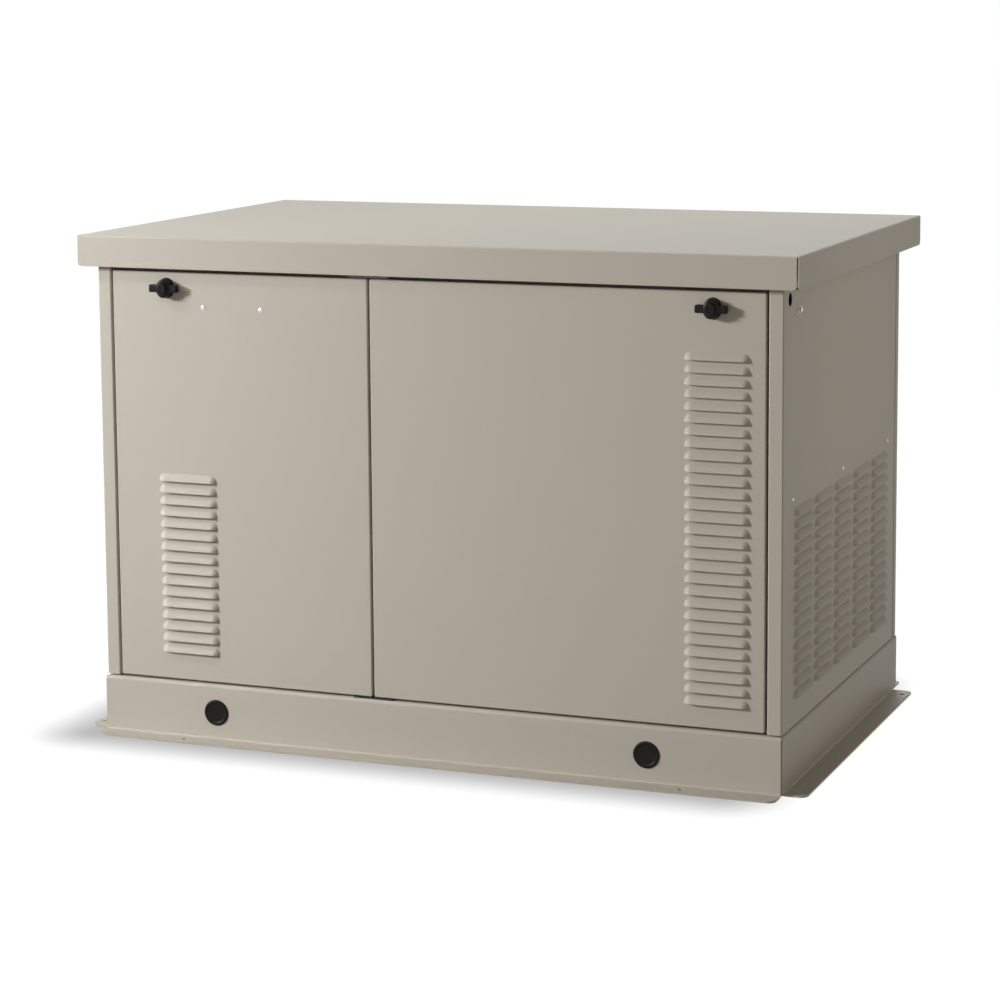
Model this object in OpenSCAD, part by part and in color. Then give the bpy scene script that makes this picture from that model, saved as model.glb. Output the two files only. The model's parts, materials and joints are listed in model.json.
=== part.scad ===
// Home standby generator: a sheet-metal cabinet with a hinged roof and two doors,
// round an air-cooled V-twin engine and its alternator. Millimetres, +Z up,
// origin at the middle of the footprint, front towards -Y.

/* [Cabinet] */
// Width over the side panels
cab_w = 1200; // [1100:10:1400]
// Depth over the door fronts and the rear panel
cab_d = 743; // [720:1:800]
// Sheet thickness of panels, doors and roof
sheet = 1.5; // [1:0.1:2]
// Height of the doors
door_h = 696.5; // [680:0.5:760]
// Gap round and between the doors
door_gap = 4; // [3:0.5:6]
// Gap between the base and the doors
foot_gap = 3.5; // [3.5:0.5:5]
// Width of the side panels' front return, beside the doors
post_w = 24; // [20:1:32]
// Place of the gap between the doors, from the middle
split_x = -100.6; // [-120:0.2:-90]
// Depth of the doors' folded edges
door_t = 12; // [10:0.5:14]

/* [Base] */
// Height of the base rails
base_h = 96; // [90:1:120]
// Thickness of the base rails
base_t = 3; // [2.5:0.5:4]
// How far the base stands out in front of the doors
base_front = 6; // [3:0.5:8]
// How far the base stands out beside the side panels
base_side = 1.5; // [0.5:0.5:3]
// Width of the flange along the front and the rear
flange_f = 36.5; // [32:0.5:45]
// Width of the flange along each side
flange_s = 38; // [32:0.5:45]
// Diameter of the anchor holes in the flanges
anchor_d = 9; // [8:0.5:11]
// Spacing of the anchor holes along the front flange
anchor_x = 884; // [800:1:900]
// How far the anchor holes lie in from the ends of each side flange
anchor_end = 29; // [26:0.5:35]
// Length of each side flange
flange_len = 711; // [690:1:720]
// How far the side flange's middle lies towards the front
flange_shift = 11.5; // [5:0.5:15]
// Diameter of the lift holes
lift_d = 40; // [36:1:46]
// Place of the left lift hole
lift_x1 = -389.2; // [-420:0.1:-360]
// Place of the right lift hole
lift_x2 = 378.6; // [360:0.1:400]
// Height of the lift holes' middle
lift_z = 48.5; // [45:0.5:52]

/* [Roof] */
// How far the roof stands out in front of the doors
roof_front = 17.7; // [14:0.1:30]
// How far the roof stands out behind the rear panel
roof_back = 36.5; // [34:0.5:42]
// How far the roof stands out at each side
roof_side = 28.4; // [20:0.1:36]
// Height of the roof's edge
roof_h = 52.5; // [50:0.5:60]
// Gap between the door tops and the roof's edge
roof_gap = 7; // [6:0.5:10]
// Width of the open slits at the roof's corners
roof_slit = 3; // [2:0.5:4]

/* [Louvres] */
// Length of a louvre
louvre_l = 108; // [90:0.1:112]
// How far a louvre stands out
louvre_p = 7.5; // [6:0.5:10]
// Height of a louvre
louvre_h = 13.6; // [12:0.1:17]
// Spacing of the louvres, one above the other
louvre_pitch = 19.64; // [18.5:0.01:22]
// Spacing of the louvre columns on the side
louvre_col = 122; // [118:1:130]
// Height from the lowest to the highest louvre of the right door
right_louvre_run = 550; // [200:1:620]
// Louvres in each other column
left_rows = 16; // [8:1:20]
// Louvre columns on the right side panel
side_cols = 5; // [3:1:5]
// Louvre columns on the rear panel
rear_cols = 3; // [1:1:3]
// Height of the lowest slot in the right door
right_slot_z = 137.8; // [130:0.1:150]
// Height of the lowest slot in the left door
left_slot_z = 147; // [140:0.1:160]
// Height of the lowest slot in the side and rear panels
side_slot_z = 142.2; // [135:0.1:150]
// Middle of the right door's louvres, from the middle of the cabinet
right_louvre_x = 493.2; // [480:0.1:500]
// Middle of the left door's louvres, from the middle of the cabinet
left_louvre_x = -437.2; // [-450:0.1:-420]

/* [Latches] */
// Diameter of a latch's hub
latch_d = 36; // [30:1:40]
// Length of a latch's wings, end to end
wing_l = 53; // [44:1:60]
// How far a latch stands out from its door
latch_out = 25; // [20:1:28]
// Diameter of a latch's shaft
latch_shaft = 12; // [8:0.5:14]
// Length of a latch's cam
cam_l = 32; // [28:1:36]
// Place of the left door's latch
latch_x1 = -470; // [-500:1:-440]
// Place of the right door's latch
latch_x2 = 486; // [460:1:510]
// Drop from the door's top edge to the latch
latch_drop = 27; // [25:1:32]

/* [Hinges] */
// Diameter of the door pins
door_pin = 8; // [6:0.5:8]
// Distance of a door's pin from the door's edge
door_pin_in = 14; // [13:0.5:18]
// Diameter of the roof hinge pins
roof_pin = 6; // [5:0.5:7]
// Distance of each roof hinge from the middle
roof_hinge_x = 420; // [350:5:480]
// Running clearance of pins and shafts, all round
run_fit = 0.05; // [0.02:0.01:0.08]
// Diameter of the roof's prop rod
prop_d = 8; // [6:0.5:9]
// Length of the roof's prop rod
prop_l = 400; // [380:1:420]

/* [Engine] */
// Height of the crankshaft's axis
crank_z = 275; // [265:1:290]
// Place of the crankshaft's axis, front to back
crank_y = 10; // [0:1:20]
// Diameter of the crankshaft's main journals
crank_d = 36; // [32:1:40]
// Radius of the crankcase's barrel
case_r = 96; // [90:1:100]
// Length of the crankcase
case_l = 190; // [180:1:200]
// Outer radius of the cylinder barrels
barrel_r = 48; // [44:1:50]
// Width of the cooling fins
fin_w = 122; // [112:1:130]
// Thickness of a cooling fin
fin_t = 3; // [2:0.5:4]
// Spacing of the cooling fins
fin_pitch = 10; // [9:0.5:12]
// Number of cooling fins on a cylinder
fin_n = 9; // [6:1:9]
// Radius of the flywheel
wheel_r = 112; // [100:1:118]
// Number of blades on the flywheel's fan
blades = 14; // [8:1:20]
// Radius of the muffler
muffler_r = 72; // [60:1:78]
// Length of the muffler
muffler_l = 480; // [420:5:520]
// Outer radius of the exhaust pipes
pipe_r = 17; // [14:0.5:20]

/* [Alternator] */
// Outer radius of the stator housing
stator_r = 112; // [105:1:116]
// Length of the stator housing
stator_l = 190; // [170:1:210]
// Radius of the rotor
rotor_r = 78; // [70:1:80]
// Air gap between the rotor and the stator's iron
air_gap = 1; // [0.6:0.1:2]
// Diameter of the rotor shaft at the end bearing
tail_d = 25; // [22:1:28]

/* [Controls and battery] */
// Width of the controller box
ctrl_w = 215; // [190:1:218]
// Depth of the controller box
ctrl_d = 110; // [90:1:120]
// Height of the controller box
ctrl_h = 160; // [140:1:165]
// Length of the battery
batt_l = 228; // [200:1:232]
// Width of the battery
batt_w = 132; // [125:1:140]
// Height of the battery's case
batt_h = 190; // [180:1:205]
// Radius of the fuel inlet's threaded bore
fuel_r = 9.2; // [8:0.1:10.5]

/* [Hidden] */
$fn = 48;
eps = 0.01;
soft_gap = 0.3;

// Heights of the cabinet's layers
pan_t = 2;
pan_top = base_h + pan_t;
door_z0 = base_h + foot_gap;
door_z1 = door_z0 + door_h;
roof_z0 = door_z1 + roof_gap;
roof_z1 = roof_z0 + roof_h;
lining_t = 7.7;
panel_z1 = roof_z1 - sheet - lining_t - soft_gap;

// Faces of the cabinet
side_x = cab_w / 2;
front_y = -cab_d / 2;
back_y = cab_d / 2;
post_x = side_x - post_w;
side_in = side_x - sheet;
corner_wrap = 20.5;
corner_gap = 4;
side_end = back_y - corner_wrap - corner_gap;
edge_fold = 20;
post_fold = 15;
base_x = side_x + base_side;
base_y = -front_y + base_front;
bend_r = 6;
rail_in = 30;
corner_slit = 2;
flange_cut = 14;
side_rail_in = rail_in + 1;
anchor_y = flange_len - 2 * anchor_end;
front_anchor_at = 0.52;
side_anchor_at = 0.67;

// Floor pan
pan_inset = 14;
hat_w = 70;
hat_h = 34;
hat_in = 30;
pin_cover = 3;

// Lift hole plugs
plug_lip = 2.5;
plug_over = 4.5;

// Doors and what they close against
left_x0 = -post_x + door_gap;
left_x1 = split_x - door_gap / 2;
right_x0 = split_x + door_gap / 2;
right_x1 = post_x - door_gap;
pivot_y = front_y + door_t / 2;
pivot_left = left_x1 - door_pin_in;
pivot_right = right_x0 + door_pin_in;
swing = sqrt(pow(door_pin_in, 2) + pow(door_t / 2, 2));
stop_y = pivot_y + swing + 2.3;
bush_h = 18;
door_pin_l = 16;
tongue_w = 70;
tongue_y = pivot_y - door_pin / 2 - pin_cover;

// Front top rail and latches
rail_drop = 15;
rail_flange = 30;
mullion_w = 50;
mullion_d = 26;
rail_z0 = door_z1 - rail_drop;
latch_z = door_z1 - latch_drop;
cam_w = 16;
cam_t = 3;
cam_y = stop_y + sheet + 1.5;
gusset_l = 80;
gusset_screw_y = front_y + 87.5;
gusset_screw_z = door_z1 - 34;
door_rivet_x = [-402, -295];
door_rivet_drop = 59;
lock_hole_d = 21;
lock_hole_y = front_y + 35.5;
lock_hole_z = door_z1 - 13;

// Roof hinges, on an axis behind the rear panel
hinge_y = back_y + 13.5;
hinge_z = roof_z0 - 3;
knuckle_r = roof_pin / 2 + 3;
knuckle_l = 18;
knuckle_gap = 0.5;
middle_l = 22;
hinge_w = 2 * knuckle_l + 2 * knuckle_gap + middle_l;
leaf_t = 2;

// Prop rod, hung from the roof inside the left side panel
prop_x = -side_x + 30;
prop_tip_in = 31.5;
prop_y = front_y + prop_tip_in + prop_l;
prop_clip_in = 45;
prop_clip_w = 12;
prop_z = panel_z1 - 10;
prop_hook = 17;
prop_ear_t = 2;
prop_pin = 6;

// Louvre columns
right_rows = floor(right_louvre_run / louvre_pitch) + 1;
side_mid_y = -7;
side_top_z = side_slot_z + (left_rows - 1) * louvre_pitch + louvre_h;
baffle_rivet_z = side_top_z + 8.6;
baffle_rivet_dy = 306;
rear_mid_x = -60;
lip_wall = 1.2;

// Bays inside
partition_x = -327;
divider_x = 376;
bay_back = back_y - sheet;

// Engine and alternator along the crankshaft
case_x0 = -185;
case_x1 = case_x0 + case_l;
case_wall = 14;
skid_z1 = 150;
skid_t = 16;
skid_w = 40;
skid_half = 100;
cross_w = 40;
cross_in = 10;
skid_y1 = crank_y - skid_half;
skid_y2 = crank_y + skid_half;
skid_x0 = -225;
skid_x1 = 345;
mount_d = 44;
cyl_tilt = 45;
cyl_start = case_r + 2;
cyl_x1 = case_x0 + 78;
cyl_x2 = case_x0 + 108;
barrel_l = fin_n * fin_pitch;
head_l = 46;
head_w = 112;
cover_l = 30;
cover_w = 84;
shroud_x0 = -312;
shroud_x1 = case_x0 - 6;
shroud_wall = 2.5;
shroud_top = 196;
shroud_hip = 130;
shroud_neck = 60;
shroud_flare = 34;
wheel_gap = 12;
port_gap = 12;
inlet_r = 92;
wheel_x0 = -285;
wheel_t = 14;
blade_t = 4;
blade_h = 34;
adapter_l = 50;
stator_x0 = case_x1 + adapter_l;
stator_x1 = stator_x0 + stator_l;
stator_wall = 8;
iron_end = 20;
end_t = 16;
bearing_r = 26;
bearing_t = 15;
shaft_d = 30;
fan_t = 6;
head_mid = cyl_start + barrel_l + head_l / 2;
port_low = 24;
plug_high = 34;
exhaust_z = crank_z + (head_mid - port_low) * cos(cyl_tilt);
exhaust_dy = (head_mid + port_low) * sin(cyl_tilt);
exhaust_y1 = crank_y - exhaust_dy;
exhaust_y2 = crank_y + exhaust_dy;
muffler_x = 488;
muffler_y = crank_y;
tail_r = 20;
tail_drop = 90;
tail_out = 62;

filter_x = case_x0 + 44;
filler_cap_r = 19;
filler_gap = 4;
filler_x = cyl_x1 + fin_w / 2 + filler_gap + filler_cap_r;
filler_y = crank_y - case_r - 6;
filler_z = crank_z + 100;
starter_x = case_x0 + 100;
starter_r = 36;
starter_l = 94;
starter_stud_x = 44;
starter_y = crank_y - case_r - starter_r - 4;
starter_z = crank_z - 72;
block_y = case_r - 14;

// Intake, above the V
port_rise = 200;
port_z = crank_z + port_rise;
intake_x = (cyl_x1 + cyl_x2) / 2;
intake_r = 20;
intake_reach = 98;
mixer_z0 = port_z + 42;
mixer_h = 66;
mixer_w = 74;
cleaner_z0 = mixer_z0 + mixer_h;
cleaner_r = 112;
cleaner_h = 82;
filter_gap = 22;
filter_wall = 30;

// Controls on the partition
ctrl_x1 = partition_x;
ctrl_x0 = ctrl_x1 - ctrl_w;
ctrl_y0 = stop_y + 18;
ctrl_z1 = rail_z0 - 52;
ctrl_z0 = ctrl_z1 - ctrl_h;
bezel = 3;
switch_x = ctrl_x0 + 40;
switch_z = ctrl_z0 + 42;
switch_w = 20;
switch_h = 28;
breaker_w = 56;
breaker_h = 112;
breaker_d = 74;
breaker_x = ctrl_x1 - 60;
breaker_y0 = ctrl_y0;
breaker_z1 = ctrl_z0 - 14;
lever_w = 14;
lever_l = 22;

// Battery on the floor of the left bay
batt_x1 = partition_x - 12;
batt_x0 = batt_x1 - batt_l;
batt_y0 = stop_y + 18;
tray_t = 3;
tray_rim = 24;
post_d = 16;
cable_r = 5;
post_in = 34;
lead_y = -190;
lead_z = 300;

// Fuel train
reg_r = 58;
reg_t = 46;
reg_y = 190;
reg_z = 420;
inlet_x = -452;
inlet_z = 200;
boss_l = 30;
boss_r = 19;

// Way in from below for conduits
stub_x = -470;
stub_y = 190;
stub_w = 196;
stub_d = 166;

// ---- helpers ----

// A box between two corners
module block(x0, x1, y0, y1, z0, z1) {
    translate([min(x0, x1), min(y0, y1), min(z0, z1)])
        cube([abs(x1 - x0), abs(y1 - y0), abs(z1 - z0)]);
}

// Round bars along each axis, from a point
module rod_x(x, y, z, r, l) translate([x, y, z]) rotate([0, 90, 0]) cylinder(r = r, h = l);
module rod_y(x, y, z, r, l) translate([x, y, z]) rotate([-90, 0, 0]) cylinder(r = r, h = l);
module rod_z(x, y, z, r, l) translate([x, y, z]) cylinder(r = r, h = l);

// Points along an arc
function arc(c, r, a0, a1, n = 5) =
    [for (i = [0 : n]) let (a = a0 + (a1 - a0) * i / n) [c[0] + r * cos(a), c[1] + r * sin(a)]];

// A tube or bar through a list of points, with ball corners
module bent_bar(pts, r) {
    for (i = [0 : len(pts) - 2]) {
        d = pts[i + 1] - pts[i];
        l = norm(d);
        translate(pts[i])
            rotate([0, acos(d[2] / l), atan2(d[1], d[0])]) cylinder(r = r, h = l, $fn = 24);
    }
    for (i = [1 : len(pts) - 2]) translate(pts[i]) sphere(r = r + 0.3, $fn = 24);
}

// ---- base ----

// Section of a base rail: outward along x, up along y, outer face at x = 0
module rail_section(flange) {
    foot_r = 3;
    polygon(concat(
        [[flange, 0], [flange, base_t]],
        arc([foot_r, base_t + foot_r], foot_r, 270, 180),
        arc([-bend_r, base_h - bend_r], bend_r, 0, 90),
        [[-rail_in, base_h], [-rail_in, base_h - base_t]],
        arc([-bend_r, base_h - bend_r], bend_r - base_t, 90, 0),
        arc([foot_r, base_t + foot_r], foot_r + base_t, 180, 270)));
}

// Cuts that round off the ends of a flange
module flange_corner(r) {
    difference() {
        translate([0, 0, -1]) cube([r + 1, r + 1, base_t + 2]);
        translate([0, 0, -2]) cylinder(r = r, h = base_t + 4);
    }
}

module base_long_rail() {
    l = base_x - corner_slit / 2;
    difference() {
        translate([-l, -base_y, 0]) rotate([90, 0, 90]) mirror([1, 0, 0])
            linear_extrude(2 * l) rail_section(flange_f);
        for (s = [-1, 1]) {
            translate([s * (l - flange_cut), -base_y - flange_f + flange_cut, 0])
                mirror([s < 0 ? 1 : 0, 0, 0]) mirror([0, 1, 0]) flange_corner(flange_cut);
            translate([s * anchor_x / 2, -base_y - flange_f * front_anchor_at, -1])
                cylinder(d = anchor_d, h = base_t + 2);
        }
        for (x = [lift_x1, lift_x2]) rod_y(x, -base_y - 1, lift_z, lift_d / 2, base_t + 2);
        // room for the side rails' walls
        for (s = [-1, 1])
            block(s * (base_x - bend_r - 1), s * (base_x + 1), -base_y + base_t + corner_slit - 0.5,
                -base_y + side_rail_in + 2, base_h - 2 * bend_r, base_h + 1);
    }
}
module base_front_rail() color("tan") base_long_rail();
module base_rear_rail() color("tan") rotate([0, 0, 180]) mirror([1, 0, 0]) base_long_rail();

module base_side_rail() {
    y0 = -base_y + base_t + corner_slit;
    difference() {
        union() {
            intersection() {
                translate([base_x, -base_y, 0]) rotate([90, 0, 0]) mirror([0, 0, 1])
                    linear_extrude(2 * base_y) rail_section(flange_s);
                union() {
                    block(base_x - bend_r - base_t, base_x + eps, y0, -y0, -1, base_h - bend_r);
                    block(base_x - bend_r, base_x + eps, y0, -y0, 0, base_h + 1);
                    block(0, base_x + eps, y0 + side_rail_in, -y0 - side_rail_in, 0, base_h + 1);
                    block(base_x, base_x + flange_s + 1, -flange_shift - flange_len / 2,
                        -flange_shift + flange_len / 2, -1, base_h);
                }
            }
        }
        for (s = [-1, 1]) {
            translate([base_x + flange_s - flange_cut,
                    -flange_shift + s * (flange_len / 2 - flange_cut), 0])
                mirror([0, s < 0 ? 1 : 0, 0]) flange_corner(flange_cut);
            translate([base_x + flange_s * side_anchor_at, -flange_shift + s * anchor_y / 2, -1])
                cylinder(d = anchor_d, h = base_t + 2);
        }
    }
}
module base_right_rail() color("tan") base_side_rail();
module base_left_rail() color("tan") mirror([1, 0, 0]) base_side_rail();

module floor_pan() color("darkkhaki") {
    px = side_x - pan_inset;
    py = -stop_y - 2;
    reach = base_y - rail_in - 2;
    difference() {
        union() {
            block(-px, px, -py, back_y - 4, base_h, pan_top);
            // tongue that carries the doors' lower pins
            block(split_x - tongue_w / 2, split_x + tongue_w / 2, tongue_y, -py + eps, base_h, pan_top);
            for (x = [skid_x0 + hat_in, skid_x1 - hat_in]) {
                block(x - hat_w / 2, x + hat_w / 2, -reach, reach, base_h - hat_h, base_h - hat_h + pan_t);
                for (s = [-1, 1])
                    block(x + s * hat_w / 2, x + s * (hat_w / 2 - pan_t), -reach, reach,
                        base_h - hat_h, base_h + eps);
            }
        }
        block(stub_x - stub_w / 2, stub_x + stub_w / 2, stub_y - stub_d / 2, stub_y + stub_d / 2,
            base_h - 1, pan_top + 1);
    }
}

module lift_hole_plugs() color("black")
    for (f = [-1, 1], x = [lift_x1, lift_x2]) {
        rod_y(x, f > 0 ? base_y : -base_y - plug_lip, lift_z, lift_d / 2 + plug_over / 2, plug_lip);
        difference() {
            rod_y(x, f > 0 ? base_y - base_t - 4 : -base_y, lift_z, lift_d / 2, base_t + 4);
            rod_y(x, f > 0 ? base_y - base_t - 5 : -base_y + 1, lift_z, lift_d / 2 - 2, base_t + 4);
        }
    }

// ---- louvres ----

// Outer hood of one louvre on a panel whose face is y = 0, facing -y; slot at z = 0
module hood(l, p, h, w) {
    intersection() {
        translate([-l / 2, 0, 0]) rotate([90, 0, 90]) linear_extrude(l)
            polygon([[w, h], [0, h], [-p * 0.42, h * 0.7], [-p * 0.86, h * 0.28], [-p, -w], [w, -w]]);
        translate([0, 0, -w - 1]) linear_extrude(h + w + 2)
            polygon([[-l / 2, w], [-l / 2, 0], [-l / 2 + p, -p - w], [l / 2 - p, -p - w], [l / 2, 0],
                [l / 2, w]]);
    }
}
module louvre_hoods(rows, z0) {
    for (i = [0 : rows - 1])
        translate([0, 0, z0 + i * louvre_pitch]) intersection() {
            hood(louvre_l, louvre_p, louvre_h, 0.2);
            block(-louvre_l, louvre_l, -louvre_p - 1, sheet / 2, 0, louvre_h);
        }
}
module louvre_cuts(rows, z0) {
    for (i = [0 : rows - 1])
        translate([0, eps, z0 + i * louvre_pitch - eps])
            hood(louvre_l - 2 * lip_wall - 2, louvre_p - lip_wall, louvre_h - lip_wall - 1.5, sheet);
}

// ---- cabinet ----

module side_shell() {
    difference() {
        union() {
            block(side_in, side_x, front_y, side_end, pan_top, panel_z1);
            block(post_x, side_x, front_y, front_y + sheet, pan_top, panel_z1);
            block(post_x, post_x + sheet, front_y, front_y + post_fold, pan_top, panel_z1);
            block(side_x - 14, side_x, side_end - sheet, side_end, pan_top, panel_z1);
            block(side_x - 14, side_x - 14 + sheet, side_end - sheet, side_end + corner_wrap - 4,
                pan_top, panel_z1);
            block(side_x - edge_fold, side_x, front_y, side_end, panel_z1 - sheet, panel_z1);
            block(side_x - edge_fold, side_x, front_y, side_end, pan_top, pan_top + sheet);
        }
        rod_x(side_x - 5, lock_hole_y, lock_hole_z, lock_hole_d / 2, 10);
        rod_x(side_x - 5, gusset_screw_y, gusset_screw_z, 2.5, 10);
    }
}
module left_side_panel() color("tan") mirror([1, 0, 0]) side_shell();
module right_side_panel() color("tan") {
    difference() {
        union() {
            side_shell();
            for (c = [0 : side_cols - 1])
                translate([side_x, side_mid_y + (c - (side_cols - 1) / 2) * louvre_col, 0])
                    rotate([0, 0, 90]) louvre_hoods(left_rows, side_slot_z);
        }
        for (c = [0 : side_cols - 1])
            translate([side_x, side_mid_y + (c - (side_cols - 1) / 2) * louvre_col, 0])
                rotate([0, 0, 90]) louvre_cuts(left_rows, side_slot_z);
    }
}
module rear_panel() color("tan") {
    difference() {
        union() {
            block(-side_x, side_x, back_y - sheet, back_y, pan_top, panel_z1);
            for (s = [-1, 1]) {
                block(s * side_x, s * side_in, back_y - corner_wrap, back_y, pan_top, panel_z1);
                block(s * side_x, s * (side_x - 14 + sheet), back_y - corner_wrap,
                    back_y - corner_wrap + sheet, pan_top, panel_z1);
            }
            block(-post_x + 5, post_x - 5, back_y - edge_fold, back_y, panel_z1 - sheet, panel_z1);
            block(-post_x + 5, post_x - 5, back_y - edge_fold, back_y, pan_top, pan_top + sheet);
            for (c = [0 : rear_cols - 1])
                translate([rear_mid_x + (c - (rear_cols - 1) / 2) * louvre_col, back_y, 0])
                    rotate([0, 0, 180]) louvre_hoods(left_rows, side_slot_z);
        }
        for (c = [0 : rear_cols - 1])
            translate([rear_mid_x + (c - (rear_cols - 1) / 2) * louvre_col, back_y, 0])
                rotate([0, 0, 180]) louvre_cuts(left_rows, side_slot_z);
        rod_y(inlet_x, back_y - 5, inlet_z, boss_r + 1, 10);
    }
}
module gusset() {
    difference() {
        translate([side_in - sheet, 0, 0]) rotate([90, 0, 90]) linear_extrude(sheet)
            polygon([[stop_y, rail_z0], [stop_y, panel_z1 - sheet], [stop_y + gusset_l, panel_z1 - sheet],
                [stop_y + gusset_l, gusset_screw_z - 14], [stop_y + 30, gusset_screw_z - 14]]);
        rod_x(side_in - 5, lock_hole_y, lock_hole_z, lock_hole_d / 2, 10);
        rod_x(side_in - 5, gusset_screw_y, gusset_screw_z, 2.5, 10);
    }
}
module front_top_rail() color("tan") {
    difference() {
        union() {
            block(-side_in, side_in, stop_y, stop_y + sheet, rail_z0, panel_z1 - sheet);
            block(-post_x, post_x, stop_y, stop_y + rail_flange, panel_z1 - sheet, panel_z1);
            gusset();
            mirror([1, 0, 0]) gusset();
            // tongue that carries the doors' upper pins
            block(split_x - tongue_w / 2, split_x + tongue_w / 2, tongue_y, stop_y + eps,
                door_z1 + 2, door_z1 + 4);
        }
        for (s = [-1, 1])
            block(s * (post_x - 1), s * side_x, stop_y - 1, lock_hole_y + lock_hole_d,
                lock_hole_z - lock_hole_d / 2 - 2, lock_hole_z + lock_hole_d / 2 + 2);
    }
}
module centre_mullion() color("tan") {
    x0 = split_x - mullion_w / 2;
    x1 = split_x + mullion_w / 2;
    y0 = stop_y + sheet;
    block(x0, x1, y0, y0 + sheet, pan_top, panel_z1 - sheet);
    for (x = [x0, x1 - sheet]) block(x, x + sheet, y0, y0 + mullion_d, pan_top, panel_z1 - sheet);
}
module divider_bulkhead() color("silver") {
    difference() {
        union() {
            block(divider_x, divider_x + sheet, stop_y + 4, bay_back, pan_top, panel_z1 - 6);
            block(divider_x, divider_x + 22, stop_y + 4, bay_back, pan_top, pan_top + sheet);
        }
        block(divider_x - 1, divider_x + 5, bay_back - edge_fold - 1, bay_back + 1, panel_z1 - 10, panel_z1);
        block(divider_x - 1, divider_x + 5, bay_back - edge_fold - 1, bay_back + 1, 0, pan_top + sheet);
        block(divider_x - 1, divider_x + 24, bay_back - edge_fold - 1, bay_back + 1, 0, pan_top + 2 * sheet);
        for (y = [exhaust_y1, exhaust_y2])
            rod_x(divider_x - 1, y, exhaust_z, pipe_r + 7, 10);
        rod_x(divider_x - 1, crank_y, crank_z, 70, 10);
    }
}
module control_partition() color("silver") {
    difference() {
        union() {
            block(partition_x, partition_x + sheet, stop_y + 4, bay_back - edge_fold - 2, pan_top,
                panel_z1 - 40);
            block(partition_x, partition_x + 20, stop_y + 4, bay_back - edge_fold - 2, pan_top,
                pan_top + sheet);
        }
        block(partition_x - 1, partition_x + 9, crank_y - inlet_r - port_gap, crank_y + inlet_r + port_gap,
            crank_z - inlet_r - port_gap, crank_z + inlet_r + port_gap);
        rod_x(partition_x - 1, lead_y, lead_z, 16, 10);
        rod_x(partition_x - 1, reg_y, reg_z, 16, 10);
    }
}
module left_door_rivets() color("silver")
    for (x = door_rivet_x) {
        rod_y(x, front_y - 1.2, door_z1 - door_rivet_drop, 4.6, 1.2);
        rod_y(x, front_y, door_z1 - door_rivet_drop, 2.4, sheet);
        rod_y(x, front_y + sheet, door_z1 - door_rivet_drop, 4, 3);
    }
module side_screws() color("silver") {
    in = side_in - sheet - 4;
    for (s = [0, 1]) mirror([s, 0, 0]) {
        rod_x(side_x, gusset_screw_y, gusset_screw_z, 5.5, 2.5);
        rod_x(in, gusset_screw_y, gusset_screw_z, 2.4, side_x - in + eps);
        rod_x(in, gusset_screw_y, gusset_screw_z, 4.5, 4);
    }
    for (i = [-1 : 1]) rod_x(side_x, side_mid_y - 2 + i * baffle_rivet_dy, baffle_rivet_z, 3, 1.2);
}
module louvre_baffle() color("dimgray") {
    y0 = side_mid_y - baffle_rivet_dy - 12;
    y1 = side_mid_y + baffle_rivet_dy + 10;
    block(side_in - 12, side_in, y0, y1, baffle_rivet_z - 8, baffle_rivet_z + 8);
    block(side_in - 13.5, side_in - 12, y0, y1, pan_top + 3, baffle_rivet_z + 8);
}

// ---- roof ----

module roof() color("tan") {
    x = side_x + roof_side;
    y0 = front_y - roof_front;
    y1 = back_y + roof_back;
    hem = 10;
    difference() {
        union() {
            block(-x, x, y0, y1, roof_z1 - sheet, roof_z1);
            for (y = [y0, y1 - sheet]) block(-x, x, y, y + sheet, roof_z0, roof_z1);
            for (s = [-1, 1]) block(s * x, s * (x - sheet), y0, y1, roof_z0, roof_z1);
            block(-x + roof_slit + 2, x - roof_slit - 2, y0, y0 + hem, roof_z0, roof_z0 + sheet);
            for (s = [-1, 1])
                block(s * x, s * (x - hem), y0 + roof_slit + 2, y1 - roof_slit - 2, roof_z0, roof_z0 + sheet);
        }
        for (s = [-1, 1], y = [y0, y1])
            block(s * (x + 1), s * (x - roof_slit), y - roof_slit, y + roof_slit,
                roof_z0 - 1, roof_z1 - 4);
    }
}
module roof_lining() color("dimgray") {
    difference() {
        block(-side_x + 2, side_x - 2, front_y + 8, back_y - 2, roof_z1 - sheet - lining_t, roof_z1 - sheet);
        block(prop_x - 14, prop_x + 14, prop_y - 16, prop_y + 16, panel_z1, roof_z1);
        block(prop_x - 14, prop_x + 14, prop_y - prop_l + prop_clip_in - 15,
            prop_y - prop_l + prop_clip_in + 15, panel_z1, roof_z1);
        for (s = [-1, 1])
            block(s * roof_hinge_x - hinge_w / 2 - 1, s * roof_hinge_x + hinge_w / 2 + 1,
                back_y - 14, back_y, panel_z1, roof_z1);
    }
}
module roof_hinge_bases() color("gray")
    for (s = [-1, 1]) translate([s * roof_hinge_x, 0, 0]) {
        block(-hinge_w / 2, hinge_w / 2, back_y, back_y + leaf_t, hinge_z - 46, hinge_z + 12);
        for (f = [-1, 1]) {
            x0 = f > 0 ? middle_l / 2 + knuckle_gap : -hinge_w / 2;
            rod_x(x0, hinge_y, hinge_z, knuckle_r, knuckle_l);
            block(x0, x0 + knuckle_l, back_y + leaf_t - eps, hinge_y, hinge_z - 3, hinge_z + 3);
        }
        rod_x(-hinge_w / 2 - 2, hinge_y, hinge_z, roof_pin / 2, hinge_w + 4);
    }
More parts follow.
